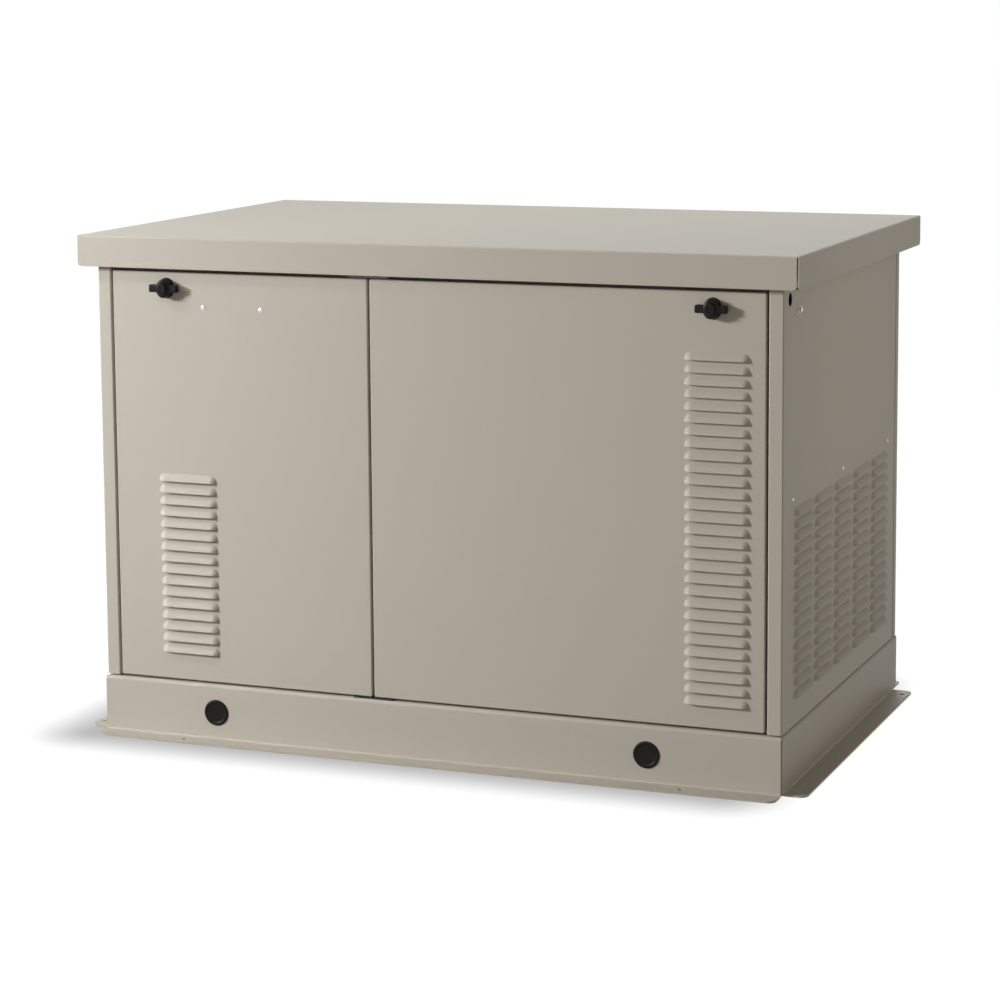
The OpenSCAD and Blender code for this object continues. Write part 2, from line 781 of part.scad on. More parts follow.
module roof_hinge_leaves() color("gray")
    for (s = [-1, 1]) translate([s * roof_hinge_x, 0, 0]) difference() {
        union() {
            rod_x(-middle_l / 2, hinge_y, hinge_z, knuckle_r, middle_l);
            block(-middle_l / 2, middle_l / 2, hinge_y - leaf_t / 2, hinge_y + leaf_t / 2, hinge_z,
                roof_z1 - sheet);
            block(-hinge_w / 2, hinge_w / 2, hinge_y - 24, hinge_y + 14, roof_z1 - sheet - leaf_t,
                roof_z1 - sheet);
        }
        rod_x(-middle_l, hinge_y, hinge_z, roof_pin / 2 + run_fit, 2 * middle_l);
    }
module prop_bracket() color("gray") {
    ear = 1.5;
    for (s = [-1, 1]) {
        x0 = prop_x + s * (prop_d / 2 + ear) - prop_ear_t / 2 + s * prop_ear_t / 2;
        block(x0, x0 + prop_ear_t, prop_y - 8, prop_y + 8, prop_z - 7, roof_z1 - sheet);
    }
    block(prop_x - 12, prop_x + 12, prop_y - 14, prop_y + 14, roof_z1 - sheet - 1.5, roof_z1 - sheet);
    rod_x(prop_x - prop_d / 2 - ear - prop_ear_t - 1, prop_y, prop_z, prop_pin / 2,
        prop_d + 2 * ear + 2 * prop_ear_t + 2);
    // clip that holds the rod's free end
    cy = prop_y - prop_l + prop_clip_in;
    for (s = [-1, 1])
        block(prop_x + s * (prop_d / 2 + 0.3), prop_x + s * (prop_d / 2 + 1.8),
            cy - prop_clip_w / 2, cy + prop_clip_w / 2, prop_z - 2, roof_z1 - sheet);
    block(prop_x - 12, prop_x + 12, cy - prop_clip_w / 2, cy + prop_clip_w / 2,
        roof_z1 - sheet - 1.5, roof_z1 - sheet);
}
module prop_rod() color("silver") {
    difference() {
        union() {
            rod_x(prop_x - prop_d / 2 + 0.5, prop_y, prop_z, 7, prop_d - 1);
            rod_y(prop_x, prop_y - prop_l - prop_d / 2, prop_z, prop_d / 2, prop_l + prop_d / 2 - 3);
            rod_x(prop_x - prop_hook, prop_y - prop_l, prop_z, prop_d / 2 - 0.5, prop_hook);
        }
        rod_x(prop_x - prop_d, prop_y, prop_z, prop_pin / 2 + run_fit, 2 * prop_d);
    }
}

// ---- doors and latches ----

// x0 is the free edge, x1 the hinged edge
module door_shell(x0, x1, pivot, latch_x) {
    lo = min(x0, x1);
    hi = max(x0, x1);
    in = x1 > x0 ? -1 : 1;
    difference() {
        union() {
            block(lo, hi, front_y, front_y + sheet, door_z0, door_z1);
            for (x = [lo, hi - sheet]) block(x, x + sheet, front_y, front_y + door_t, door_z0, door_z1);
            for (z = [door_z0, door_z1 - sheet]) block(lo, hi, front_y, front_y + door_t, z, z + sheet);
            for (z = [door_z0, door_z1 - bush_h])
                block(x1, pivot + in * 9, front_y, front_y + door_t, z, z + bush_h);
        }
        rod_z(pivot, pivot_y, door_z0 - 1, door_pin / 2 + run_fit, bush_h + 2);
        rod_z(pivot, pivot_y, door_z1 - bush_h - 1, door_pin / 2 + run_fit, bush_h + 2);
        rod_y(latch_x, front_y - 1, latch_z, latch_shaft / 2 + run_fit, sheet + 2);
    }
}
module left_door() color("tan") {
    difference() {
        union() {
            door_shell(left_x0, left_x1, pivot_left, latch_x1);
            translate([left_louvre_x, front_y, 0]) louvre_hoods(left_rows, left_slot_z);
        }
        translate([left_louvre_x, front_y, 0]) louvre_cuts(left_rows, left_slot_z);
        for (x = door_rivet_x) rod_y(x, front_y - 1, door_z1 - door_rivet_drop, 2.4, sheet + 2);
    }
}
module right_door() color("tan") {
    difference() {
        union() {
            door_shell(right_x1, right_x0, pivot_right, latch_x2);
            translate([right_louvre_x, front_y, 0]) louvre_hoods(right_rows, right_slot_z);
        }
        translate([right_louvre_x, front_y, 0]) louvre_cuts(right_rows, right_slot_z);
    }
}
module latch(x, in) color("black") {
    base_l = 4;
    hub_l = 11;
    wing_t = 13;
    rod_y(x, front_y - base_l, latch_z, latch_d / 2 + 1, base_l);
    rod_y(x, front_y - base_l - hub_l, latch_z, latch_d / 2 - 1, hub_l);
    rod_y(x, front_y - latch_out, latch_z, latch_d / 2 - 6, latch_out - base_l - hub_l);
    block(x - wing_l / 2, x + wing_l / 2, front_y - base_l - hub_l - 3, front_y - base_l - 1,
        latch_z - wing_t / 2, latch_z + wing_t / 2);
    rod_y(x, front_y, latch_z, latch_shaft / 2, cam_y + cam_t - front_y);
    difference() {
        rod_y(x, front_y + sheet + 0.4, latch_z, 10, 4);
        rod_y(x, front_y + sheet, latch_z, latch_shaft / 2 - 1, 6);
    }
    block(x, x + in * cam_l, cam_y, cam_y + cam_t, latch_z - cam_w / 2, latch_z + cam_w / 2);
    rod_y(x, cam_y, latch_z, cam_w / 2, cam_t);
}
module left_latch() latch(latch_x1, 1);
module right_latch() latch(latch_x2, -1);
module door_hinge_pins() color("silver")
    for (x = [pivot_left, pivot_right]) {
        rod_z(x, pivot_y, pan_top, door_pin / 2, foot_gap - pan_t + door_pin_l);
        rod_z(x, pivot_y, door_z1 - door_pin_l, door_pin / 2, door_pin_l + 2);
    }

// ---- engine ----

module crankcase() color("gray") {
    foot_h = crank_z - case_r + 30;
    difference() {
        union() {
            rod_x(case_x0, crank_y, crank_z, case_r, case_l);
            block(case_x0 + 12, case_x1 - 12, skid_y1 - 12, skid_y2 + 12, skid_z1, skid_z1 + 14);
            block(case_x0 + 12, case_x1 - 12, crank_y - block_y, crank_y + block_y,
                skid_z1 + 14 - eps, foot_h);
            for (t = [cyl_tilt, -cyl_tilt]) {
                x = t > 0 ? cyl_x1 : cyl_x2;
                translate([x, crank_y, crank_z]) rotate([t, 0, 0])
                    translate([0, 0, case_r - 40]) cylinder(r = barrel_r + 4, h = cyl_start - case_r + 40);
            }
            // boss and tube of the oil filler
            rod_z(filler_x, filler_y, crank_z - 30, 17, filler_z - crank_z + 30);
            block(filler_x - 17, filler_x + 17, filler_y, filler_y + 36, crank_z - 30, crank_z);
            // oil filter pad
            rod_y(filter_x, crank_y - case_r - 12, crank_z - 30, 30, 50);
            // adapter cone to the alternator
            translate([case_x1 - eps, crank_y, crank_z]) rotate([0, 90, 0])
                cylinder(r1 = case_r - 16, r2 = stator_r - 6, h = adapter_l + eps);
        }
        rod_x(case_x0 + case_wall, crank_y, crank_z, case_r - case_wall, case_l - 2 * case_wall);
        rod_x(case_x0 - 5, crank_y, crank_z, crank_d / 2 + run_fit, case_l + 20);
        translate([case_x1 + 8, crank_y, crank_z]) rotate([0, 90, 0])
            cylinder(r1 = case_r - 30, r2 = stator_r - 14, h = adapter_l - 8 + eps);
        for (a = [0 : 60 : 300]) translate([case_x1 + adapter_l / 2 + 4, crank_y, crank_z])
            rotate([a + 30, 0, 0]) translate([0, 0, 40]) cylinder(r = 13, h = 100);
        rod_z(filler_x, filler_y, crank_z - 10, 12, 130);
        for (t = [cyl_tilt, -cyl_tilt]) {
            x = t > 0 ? cyl_x1 : cyl_x2;
            translate([x, crank_y, crank_z]) rotate([t, 0, 0])
                translate([0, 0, case_r - 50]) cylinder(r = barrel_r - 8, h = 70);
        }
    }
}
module cylinder_unit(x, tilt) color("silver")
    translate([x, crank_y, crank_z]) rotate([tilt, 0, 0]) {
        difference() {
            union() {
                translate([0, 0, cyl_start]) cylinder(r = barrel_r, h = barrel_l);
                for (i = [0 : fin_n - 1])
                    translate([-fin_w / 2, -fin_w / 2, cyl_start + 4 + i * fin_pitch])
                        cube([fin_w, fin_w, fin_t]);
                translate([-head_w / 2, -head_w / 2, cyl_start + barrel_l - eps])
                    cube([head_w, head_w, head_l]);
            }
            translate([0, 0, cyl_start - 1]) cylinder(r = barrel_r - 8, h = barrel_l - 6);
            for (i = [0 : 2], s = [-1, 1])
                translate([-head_w, s > 0 ? head_w / 2 - 16 : -head_w / 2 - 1,
                    cyl_start + barrel_l + 8 + i * 12]) cube([2 * head_w, 17, 7]);
        }
    }
module cylinder_front() cylinder_unit(cyl_x1, cyl_tilt);
module cylinder_rear() cylinder_unit(cyl_x2, -cyl_tilt);
module valve_covers() color("black")
    for (t = [cyl_tilt, -cyl_tilt]) translate([t > 0 ? cyl_x1 : cyl_x2, crank_y, crank_z])
        rotate([t, 0, 0]) translate([0, 0, cyl_start + barrel_l + head_l]) {
            translate([-cover_w / 2, -cover_w / 2, 0]) cube([cover_w, cover_w, cover_l - 8]);
            translate([-cover_w / 2 + 8, -cover_w / 2 + 8, cover_l - 8 - eps])
                cube([cover_w - 16, cover_w - 16, 8]);
            for (a = [-1, 1], b = [-1, 1])
                translate([a * (cover_w / 2 - 4), b * (cover_w / 2 - 4), 0])
                    cylinder(r = 6, h = cover_l - 4);
        }
module spark_plugs() color("white")
    for (t = [cyl_tilt, -cyl_tilt]) translate([t > 0 ? cyl_x1 : cyl_x2, crank_y, crank_z])
        rotate([t, 0, 0])
        translate([head_w / 2, t > 0 ? plug_high : -plug_high, head_mid]) rotate([0, 90, 0]) {
            cylinder(r = 10, h = 9, $fn = 6);
            cylinder(r = 6.5, h = 36);
            translate([0, 0, 26]) cylinder(r = 9, h = 26);
        }
module shroud_outline(grow) {
    translate([crank_y, crank_z]) union() {
        r = wheel_r + wheel_gap + grow;
        circle(r = r, $fn = 64);
        polygon([[-r, 0], [-r - shroud_flare, shroud_hip + grow], [-shroud_neck, shroud_top + grow],
            [shroud_neck, shroud_top + grow], [r + shroud_flare, shroud_hip + grow], [r, 0]]);
    }
}
module blower_shroud() color("black") {
    difference() {
        translate([shroud_x0, 0, 0]) rotate([90, 0, 90]) linear_extrude(shroud_x1 - shroud_x0)
            shroud_outline(0);
        translate([shroud_x0 + shroud_wall, 0, 0]) rotate([90, 0, 90])
            linear_extrude(shroud_x1 - shroud_x0) shroud_outline(-shroud_wall);
        rod_x(shroud_x0 - 1, crank_y, crank_z, inlet_r, 10);
    }
    // bars of the inlet guard
    for (a = [0 : 30 : 150]) translate([shroud_x0, crank_y, crank_z]) rotate([a, 0, 0])
        translate([0, -inlet_r - 2, -1.5]) cube([shroud_wall, 2 * inlet_r + 4, 3]);
    // ring of feet on the crankcase
    for (a = [45 : 90 : 315]) translate([0, crank_y, crank_z]) rotate([a, 0, 0])
        block(shroud_x1 - 12, case_x0, case_r - 14, wheel_r + 11, -8, 8);
}
module flywheel_fan() color("gray")
    difference() {
        union() {
            rod_x(wheel_x0 + blade_h, crank_y, crank_z, wheel_r, wheel_t);
            rod_x(wheel_x0 + 8, crank_y, crank_z, 32, blade_h + wheel_t + 6);
            for (i = [0 : blades - 1]) translate([0, crank_y, crank_z]) rotate([i * 360 / blades, 0, 0])
                block(wheel_x0, wheel_x0 + blade_h + eps, wheel_r - 44, wheel_r - 2, -blade_t / 2,
                    blade_t / 2);
        }
        rod_x(wheel_x0 - 1, crank_y, crank_z, shaft_d / 2, 120);
    }
module crankshaft() color("silver") {
    throw_r = 34;
    mid = (cyl_x1 + cyl_x2) / 2;
    rod_x(wheel_x0, crank_y, crank_z, shaft_d / 2, case_x0 - wheel_x0);
    rod_x(case_x0 - eps, crank_y, crank_z, crank_d / 2, mid - 24 - case_x0);
    rod_x(mid + 24, crank_y, crank_z, crank_d / 2, case_x1 - mid - 24);
    rod_x(mid - 24, crank_y, crank_z - throw_r, 17, 48);
    for (x = [mid - 36, mid + 24]) {
        rod_x(x, crank_y, crank_z, 30, 12);
        rod_x(x, crank_y, crank_z - throw_r, 26, 12);
        rod_x(x, crank_y, crank_z + 22, 42, 12);
    }
    rod_x(case_x1 - eps, crank_y, crank_z, shaft_d / 2, stator_x1 - case_x1 - 4);
    rod_x(stator_x1 - 4 - 2 * eps, crank_y, crank_z, tail_d / 2, end_t + 12);
}
module starter_motor() color("black") {
    rod_x(starter_x, starter_y, starter_z, starter_r, starter_l);
    rod_x(starter_x - 14, starter_y, starter_z, starter_r - 6, 14 + eps);
    block(starter_x - 12, starter_x - 2, starter_y, crank_y - block_y, skid_z1 + 14,
        starter_z + 16);
    rod_z(starter_x + starter_stud_x, starter_y, starter_z + starter_r - 6, 8, 22);
}
module oil_filter() color("white") {
    y = crank_y - case_r - 12;
    rod_y(filter_x, y - 92, crank_z - 30, 36, 86);
    rod_y(filter_x, y - 6 - eps, crank_z - 30, 32, 6 + eps);
}
module oil_fill_cap() color("gold") {
    rod_z(filler_x, filler_y, filler_z, filler_cap_r, 14);
    rod_z(filler_x, filler_y, filler_z - 16, 12 - run_fit, 16 + eps);
    block(filler_x - 16, filler_x + 16, filler_y - 4, filler_y + 4, filler_z + 14 - eps,
        filler_z + 24);
}
module intake_manifold() color("silver") {
    y1 = crank_y - intake_reach;
    y2 = crank_y + intake_reach;
    difference() {
        union() {
            rod_y(intake_x, y1, port_z, intake_r, y2 - y1);
            rod_z(intake_x, crank_y, port_z, intake_r, mixer_z0 - port_z - 5);
            block(intake_x - 34, intake_x + 34, crank_y - 34, crank_y + 34, mixer_z0 - 6, mixer_z0);
            for (s = [-1, 1]) {
                fx = s < 0 ? cyl_x1 : cyl_x2;
                translate([intake_x, crank_y, crank_z]) rotate([-s * cyl_tilt, 0, 0])
                    translate([-30, s > 0 ? -head_w / 2 - 8 : head_w / 2, cyl_start + barrel_l + 2])
                        cube([60, 8, head_l - 6]);
            }
        }
        rod_z(intake_x, crank_y, port_z, intake_r - 5, 60);
    }
}
module fuel_mixer() color("silver") {
    difference() {
        union() {
            block(intake_x - mixer_w / 2, intake_x + mixer_w / 2, crank_y - mixer_w / 2,
                crank_y + mixer_w / 2, mixer_z0, mixer_z0 + 8);
            rod_z(intake_x, crank_y, mixer_z0, 30, mixer_h);
            rod_z(intake_x, crank_y, mixer_z0 + mixer_h - 8, 38, 8);
            rod_x(intake_x - 58, crank_y, mixer_z0 + 34, 13, 60);
        }
        rod_z(intake_x, crank_y, mixer_z0 - 1, 20, mixer_h + 2);
    }
}
module air_cleaner_base() color("black") {
    difference() {
        union() {
            rod_z(intake_x, crank_y, cleaner_z0, cleaner_r - 12, 10);
            rod_z(intake_x, crank_y, cleaner_z0 + 10 - eps, 4, cleaner_h - 6);
            block(intake_x - 6, intake_x + 6, crank_y - 24, crank_y + 24, cleaner_z0, cleaner_z0 + 10);
        }
        for (s = [-1, 1]) block(intake_x - 17, intake_x + 17, crank_y + s * 6, crank_y + s * 18,
            cleaner_z0 - 1, cleaner_z0 + 11);
    }
}
module air_filter() color("beige")
    difference() {
        rod_z(intake_x, crank_y, cleaner_z0 + 10, cleaner_r - filter_gap, cleaner_h - 26);
        rod_z(intake_x, crank_y, cleaner_z0 + 9, cleaner_r - filter_gap - filter_wall, cleaner_h);
    }
module air_cleaner_cover() color("dimgray")
    difference() {
        union() {
            rod_z(intake_x, crank_y, cleaner_z0 + 2, cleaner_r, cleaner_h - 12);
            translate([intake_x, crank_y, cleaner_z0 + cleaner_h - 10 - eps])
                cylinder(r1 = cleaner_r, r2 = cleaner_r - 16, h = 10, $fn = 64);
        }
        rod_z(intake_x, crank_y, cleaner_z0 + 1, cleaner_r - 3, cleaner_h - 17);
        rod_z(intake_x, crank_y, cleaner_z0, 4.5, cleaner_h + 10);
    }
module air_cleaner_knob() color("black") {
    z = cleaner_z0 + cleaner_h;
    difference() {
        union() {
            rod_z(intake_x, crank_y, z, 11, 16);
            for (a = [0, 90]) translate([intake_x, crank_y, z + 3]) rotate([0, 0, a])
                translate([-19, -3.5, 0]) cube([38, 7, 12]);
        }
        rod_z(intake_x, crank_y, z - 1, 4 + run_fit, 11);
    }
}
module exhaust_pipes() color("darkgray")
    for (i = [0, 1]) {
        y = i == 0 ? exhaust_y1 : exhaust_y2;
        x0 = (i == 0 ? cyl_x1 : cyl_x2) + head_w / 2;
        x1 = muffler_x - muffler_r;
        difference() {
            union() {
                rod_x(x0, y, exhaust_z, pipe_r, x1 - x0 + 3);
                rod_x(x0, y, exhaust_z, head_l / 2 - 1, 8);
            }
            rod_x(x0 - 1, y, exhaust_z, pipe_r - 2, x1 - x0);
        }
    }
module muffler() color("darkgray") {
    y0 = muffler_y - muffler_l / 2;
    difference() {
        union() {
            rod_y(muffler_x, y0, exhaust_z, muffler_r, muffler_l);
            for (y = [y0 - 4, y0 + muffler_l - 4]) rod_y(muffler_x, y, exhaust_z, muffler_r + 3, 8);
            // tailpipe, turned towards the side louvres
            rod_z(muffler_x, muffler_y, exhaust_z - muffler_r - tail_drop, tail_r,
                tail_drop + 12);
            rod_x(muffler_x, muffler_y, exhaust_z - muffler_r - tail_drop + tail_r, tail_r - 2,
                tail_out);
            // straps and legs down to the floor
            for (y = [y0 + 70, y0 + muffler_l - 90]) {
                rod_y(muffler_x, y, exhaust_z, muffler_r + 3, 20);
                block(muffler_x - 24, muffler_x + 24, y, y + 3, pan_top, exhaust_z - muffler_r + 10);
                block(muffler_x - 24, muffler_x + 24, y, y + 30, pan_top, pan_top + 3);
            }
        }
        rod_y(muffler_x, y0 + 3, exhaust_z, muffler_r - 2, muffler_l - 6);
        for (y = [exhaust_y1, exhaust_y2])
            rod_x(muffler_x - muffler_r - 10, y, exhaust_z, pipe_r, 30);
    }
}
module engine_skid() color("black") {
    for (y = [skid_y1, skid_y2])
        block(skid_x0, skid_x1, y - skid_w / 2, y + skid_w / 2, skid_z1 - skid_t, skid_z1);
    for (x = [skid_x0 + cross_in, skid_x1 - cross_in - cross_w])
        block(x, x + cross_w, skid_y1 + skid_w / 2 - eps, skid_y2 - skid_w / 2 + eps,
            skid_z1 - skid_t, skid_z1);
}
module vibration_mounts() color("black")
    for (x = [skid_x0 + hat_in, skid_x1 - hat_in], y = [skid_y1, skid_y2]) {
        h = skid_z1 - skid_t - pan_top;
        rod_z(x, y, pan_top, mount_d / 2 + 6, 3);
        rod_z(x, y, pan_top + 3 - eps, mount_d / 2, h - 6 + 2 * eps);
        rod_z(x, y, pan_top + h - 3, mount_d / 2 - 2, 3);
    }

// ---- alternator ----

module stator_housing() color("darkgray") {
    bore = rotor_r + air_gap;
    difference() {
        union() {
            rod_x(stator_x0, crank_y, crank_z, stator_r, stator_l);
            for (a = [0 : 15 : 345]) translate([stator_x0 + 10, crank_y, crank_z]) rotate([a, 0, 0])
                translate([0, -2, stator_r - 2]) cube([stator_l - 20, 4, 8]);
            for (x = [stator_x0 + 12, stator_x1 - 42])
                block(x, x + 30, skid_y1 - 14, skid_y2 + 14, skid_z1, skid_z1 + 12);
            block(stator_x0 + 12, stator_x1 - 12, crank_y - 60, crank_y + 60, skid_z1 + 12 - eps,
                crank_z - stator_r + 20);
        }
        rod_x(stator_x0 - 1, crank_y, crank_z, stator_r - stator_wall, iron_end + 1);
        rod_x(stator_x1 - iron_end, crank_y, crank_z, stator_r - stator_wall, iron_end + 1);
        rod_x(stator_x0, crank_y, crank_z, bore, stator_l);
    }
}
module rotor() color("peru") {
    x0 = stator_x0 + iron_end;
    x1 = stator_x1 - iron_end;
    difference() {
        union() {
            intersection() {
                rod_x(x0, crank_y, crank_z, rotor_r, x1 - x0);
                union() for (a = [0, 90])
                    translate([x0, crank_y, crank_z]) rotate([a, 0, 0])
                        translate([0, -rotor_r, -rotor_r * 0.62])
                            cube([x1 - x0, 2 * rotor_r, rotor_r * 1.24]);
            }
            rod_x(x1, crank_y, crank_z, rotor_r - 4, fan_t);
            for (a = [0 : 30 : 330]) translate([x1, crank_y, crank_z]) rotate([a, 0, 0])
                block(fan_t - eps, fan_t + 7, 44, rotor_r - 6, -1.5, 1.5);
        }
        rod_x(x0 - 1, crank_y, crank_z, shaft_d / 2, x1 - x0 + 20);
    }
}
module end_bracket() color("darkgray") {
    difference() {
        union() {
            rod_x(stator_x1, crank_y, crank_z, stator_r, 6);
            rod_x(stator_x1, crank_y, crank_z, bearing_r + 10, end_t + 4);
            for (a = [0 : 60 : 300]) translate([stator_x1 + 6 - eps, crank_y, crank_z]) rotate([a, 0, 0])
                translate([0, -4, 30]) cube([8, 8, stator_r - 36]);
        }
        for (a = [0 : 60 : 300]) translate([stator_x1 - 1, crank_y, crank_z]) rotate([a + 30, 0, 0])
            translate([0, 0, 68]) rotate([0, 90, 0]) cylinder(r = 26, h = 30);
        rod_x(stator_x1 - 1, crank_y, crank_z, bearing_r, end_t + 1);
        rod_x(stator_x1 - 1, crank_y, crank_z, tail_d / 2 + 2, end_t + 10);
    }
}
module end_bearing() color("silver")
    difference() {
        rod_x(stator_x1 + end_t - bearing_t, crank_y, crank_z, bearing_r, bearing_t);
        rod_x(stator_x1 - 5, crank_y, crank_z, tail_d / 2 + run_fit, end_t + 10);
        for (x = [stator_x1 + end_t - bearing_t - 1, stator_x1 + end_t - 1.5]) difference() {
            rod_x(x, crank_y, crank_z, bearing_r - 4, 2.5);
            rod_x(x - 1, crank_y, crank_z, tail_d / 2 + 4, 5);
        }
    }

// ---- controls, battery and fuel ----

module controller_box() color("dimgray") {
    difference() {
        union() {
            block(ctrl_x0, ctrl_x1, ctrl_y0, ctrl_y0 + ctrl_d, ctrl_z0, ctrl_z1);
            block(ctrl_x0 + 6, ctrl_x1 - 6, ctrl_y0 - bezel, ctrl_y0 + eps, ctrl_z0 + 6, ctrl_z1 - 6);
            for (i = [0 : 3])
                rod_y(ctrl_x1 - 34 - (i % 2) * 30, ctrl_y0 - bezel - 2, ctrl_z0 + 34 + floor(i / 2) * 30,
                    9, 3);
        }
        // display window
        block(ctrl_x0 + 70, ctrl_x1 - 24, ctrl_y0 - bezel - 1, ctrl_y0 - bezel + 2, ctrl_z1 - 62,
            ctrl_z1 - 22);
        // well of the mode switch
        block(switch_x - switch_w / 2 - 0.5, switch_x + switch_w / 2 + 0.5, ctrl_y0 - bezel - 1,
            ctrl_y0 + 16, switch_z - switch_h / 2 - 1, switch_z + switch_h / 2 + 1);
    }
    rod_x(switch_x - switch_w / 2 - 2, ctrl_y0 + 6, switch_z, 2, switch_w + 4);
}
module mode_switch() color("black")
    difference() {
        intersection() {
            block(switch_x - switch_w / 2, switch_x + switch_w / 2, ctrl_y0 - bezel - 6, ctrl_y0 + 10,
                switch_z - switch_h / 2, switch_z + switch_h / 2);
            rod_x(switch_x - switch_w, ctrl_y0 + 6, switch_z, switch_h / 2, 2 * switch_w);
        }
        rod_x(switch_x - switch_w, ctrl_y0 + 6, switch_z, 2 + run_fit, 2 * switch_w);
    }
module circuit_breaker() color("black") {
    x0 = breaker_x - breaker_w / 2;
    x1 = breaker_x + breaker_w / 2;
    zm = breaker_z1 - breaker_h / 2;
    difference() {
        union() {
            block(x0, x1, breaker_y0, breaker_y0 + breaker_d, breaker_z1 - breaker_h, breaker_z1);
            block(x1 - eps, partition_x, breaker_y0 + 12, breaker_y0 + breaker_d, breaker_z1 - breaker_h,
                breaker_z1 - breaker_h + 3);
            block(x1 - eps, partition_x, breaker_y0 + 12, breaker_y0 + breaker_d, breaker_z1 - 3,
                breaker_z1);
        }
        block(breaker_x - lever_w / 2 - 0.5, breaker_x + lever_w / 2 + 0.5, breaker_y0 - 1,
            breaker_y0 + 22, zm - 22, zm + 22);
    }
    rod_x(breaker_x - lever_w / 2 - 2, breaker_y0 + 12, zm, 3, lever_w + 4);
}
module breaker_lever() color("white") {
    zm = breaker_z1 - breaker_h / 2;
    translate([0, breaker_y0 + 12, zm]) rotate([-25, 0, 0]) difference() {
        union() {
            rod_x(breaker_x - lever_w / 2, 0, 0, 8, lever_w);
            block(breaker_x - lever_w / 2 + 2, breaker_x + lever_w / 2 - 2, -12 - lever_l, 0, -4, 4);
        }
        rod_x(breaker_x - lever_w, 0, 0, 3 + run_fit, 2 * lever_w);
    }
}
module battery() color("black") {
    z0 = pan_top + tray_t;
    z1 = z0 + batt_h;
    block(batt_x0, batt_x1, batt_y0, batt_y0 + batt_w, z0, z1 - 24);
    block(batt_x0 + 4, batt_x1 - 4, batt_y0 + 4, batt_y0 + batt_w - 4, z1 - 24 - eps, z1);
    for (x = [batt_x0 + post_in, batt_x1 - post_in]) rod_z(x, batt_y0 + 30, z1 - eps, post_d / 2, 16);
}
module battery_tray() color("darkslategray") {
    x0 = batt_x0 - 1;
    x1 = batt_x1 + 1;
    y0 = batt_y0 - 1;
    y1 = batt_y0 + batt_w + 1;
    z1 = pan_top + tray_t + batt_h;
    block(x0 - 3, x1 + 3, y0 - 3, y1 + 3, pan_top, pan_top + tray_t);
    for (x = [x0 - 3, x1]) block(x, x + 3, y0 - 3, y1 + 3, pan_top, pan_top + tray_rim);
    for (y = [y0 - 3, y1]) block(x0 - 3, x1 + 3, y, y + 3, pan_top, pan_top + tray_rim);
    // hold-down bar and its two rods
    xm = (batt_x0 + batt_x1) / 2;
    block(xm - 14, xm + 14, y0 - 3, y1 + 3, z1 + 0.3, z1 + 3.3);
    for (y = [y0 - 1.5, y1 + 1.5])
        block(xm - 3, xm + 3, y - 1.5, y + 1.5, pan_top + tray_rim - eps, z1 + 0.4);
}
module battery_cables() color("red") {
    z1 = pan_top + tray_t + batt_h;
    for (i = [0, 1]) {
        x = i == 0 ? batt_x1 - post_in : batt_x0 + post_in;
        y = batt_y0 + 30;
        difference() {
            rod_z(x, y, z1 + 2, post_d / 2 + 5, 12);
            rod_z(x, y, z1, post_d / 2, 20);
        }
    }
    y = batt_y0 + 30;
    sx = case_x0 + 140;
    sy = crank_y - case_r - 40;
    sz = crank_z - 72;
    // positive lead through the partition to the starter's stud
    bent_bar([[batt_x1 - post_in, y + 12, z1 + 8], [batt_x1 - post_in, lead_y, z1 + 8],
        [partition_x - 6, lead_y, lead_z], [partition_x + 40, lead_y, lead_z], [sx, sy, lead_z],
        [sx, sy, sz + 52]], cable_r);
    // negative lead down to the floor
    bent_bar([[batt_x0 + post_in, y + 12, z1 + 8], [batt_x0 + post_in, batt_y0 + batt_w + 20, z1 + 8],
        [batt_x0 + post_in, batt_y0 + batt_w + 20, pan_top + 4]], cable_r);
}
module fuel_regulator() color("goldenrod") {
    x1 = partition_x;
    rx = x1 - reg_t;
    difference() {
        union() {
            rod_x(rx, reg_y, reg_z, reg_r, reg_t);
            rod_x(rx - 10, reg_y, reg_z, 34, 10 + eps);
            // outlet spigot through the partition
            rod_x(x1 - eps, reg_y, reg_z, 12, 26);
            // inlet line from the fitting in the rear panel
            rod_z(rx + 20, reg_y, inlet_z - 14, 10, reg_z - reg_r - inlet_z + 26);
            rod_z(rx + 20, reg_y, inlet_z - 16, 15, 32);
            rod_x(inlet_x, reg_y, inlet_z, 10.5, rx + 20 - inlet_x);
            rod_z(inlet_x, reg_y, inlet_z - 16, 15, 32);
            rod_y(inlet_x, reg_y, inlet_z, 11, back_y - 18 - reg_y);
            rod_y(inlet_x, back_y - 22, inlet_z, boss_r, boss_l);
            rod_y(inlet_x, back_y - 5.5, inlet_z, boss_r + 7, 4);
        }
        rod_y(inlet_x, back_y - 12, inlet_z, fuel_r, boss_l);
    }
}

base_front_rail();
base_rear_rail();
base_left_rail();
base_right_rail();
floor_pan();
lift_hole_plugs();
left_side_panel();
right_side_panel();
rear_panel();
front_top_rail();
centre_mullion();
divider_bulkhead();
control_partition();
roof();
roof_lining();
roof_hinge_bases();
roof_hinge_leaves();
prop_bracket();
prop_rod();
left_door();
right_door();
left_latch();
right_latch();
door_hinge_pins();
left_door_rivets();
side_screws();
louvre_baffle();
crankcase();
cylinder_front();
cylinder_rear();
valve_covers();
spark_plugs();
blower_shroud();
flywheel_fan();
crankshaft();
starter_motor();
oil_filter();
oil_fill_cap();
intake_manifold();
fuel_mixer();
air_cleaner_base();
air_filter();
air_cleaner_cover();
air_cleaner_knob();
exhaust_pipes();
muffler();
engine_skid();
vibration_mounts();
stator_housing();
rotor();
end_bracket();
end_bearing();
controller_box();
mode_switch();
circuit_breaker();
breaker_lever();
battery();
battery_tray();
battery_cables();
fuel_regulator();
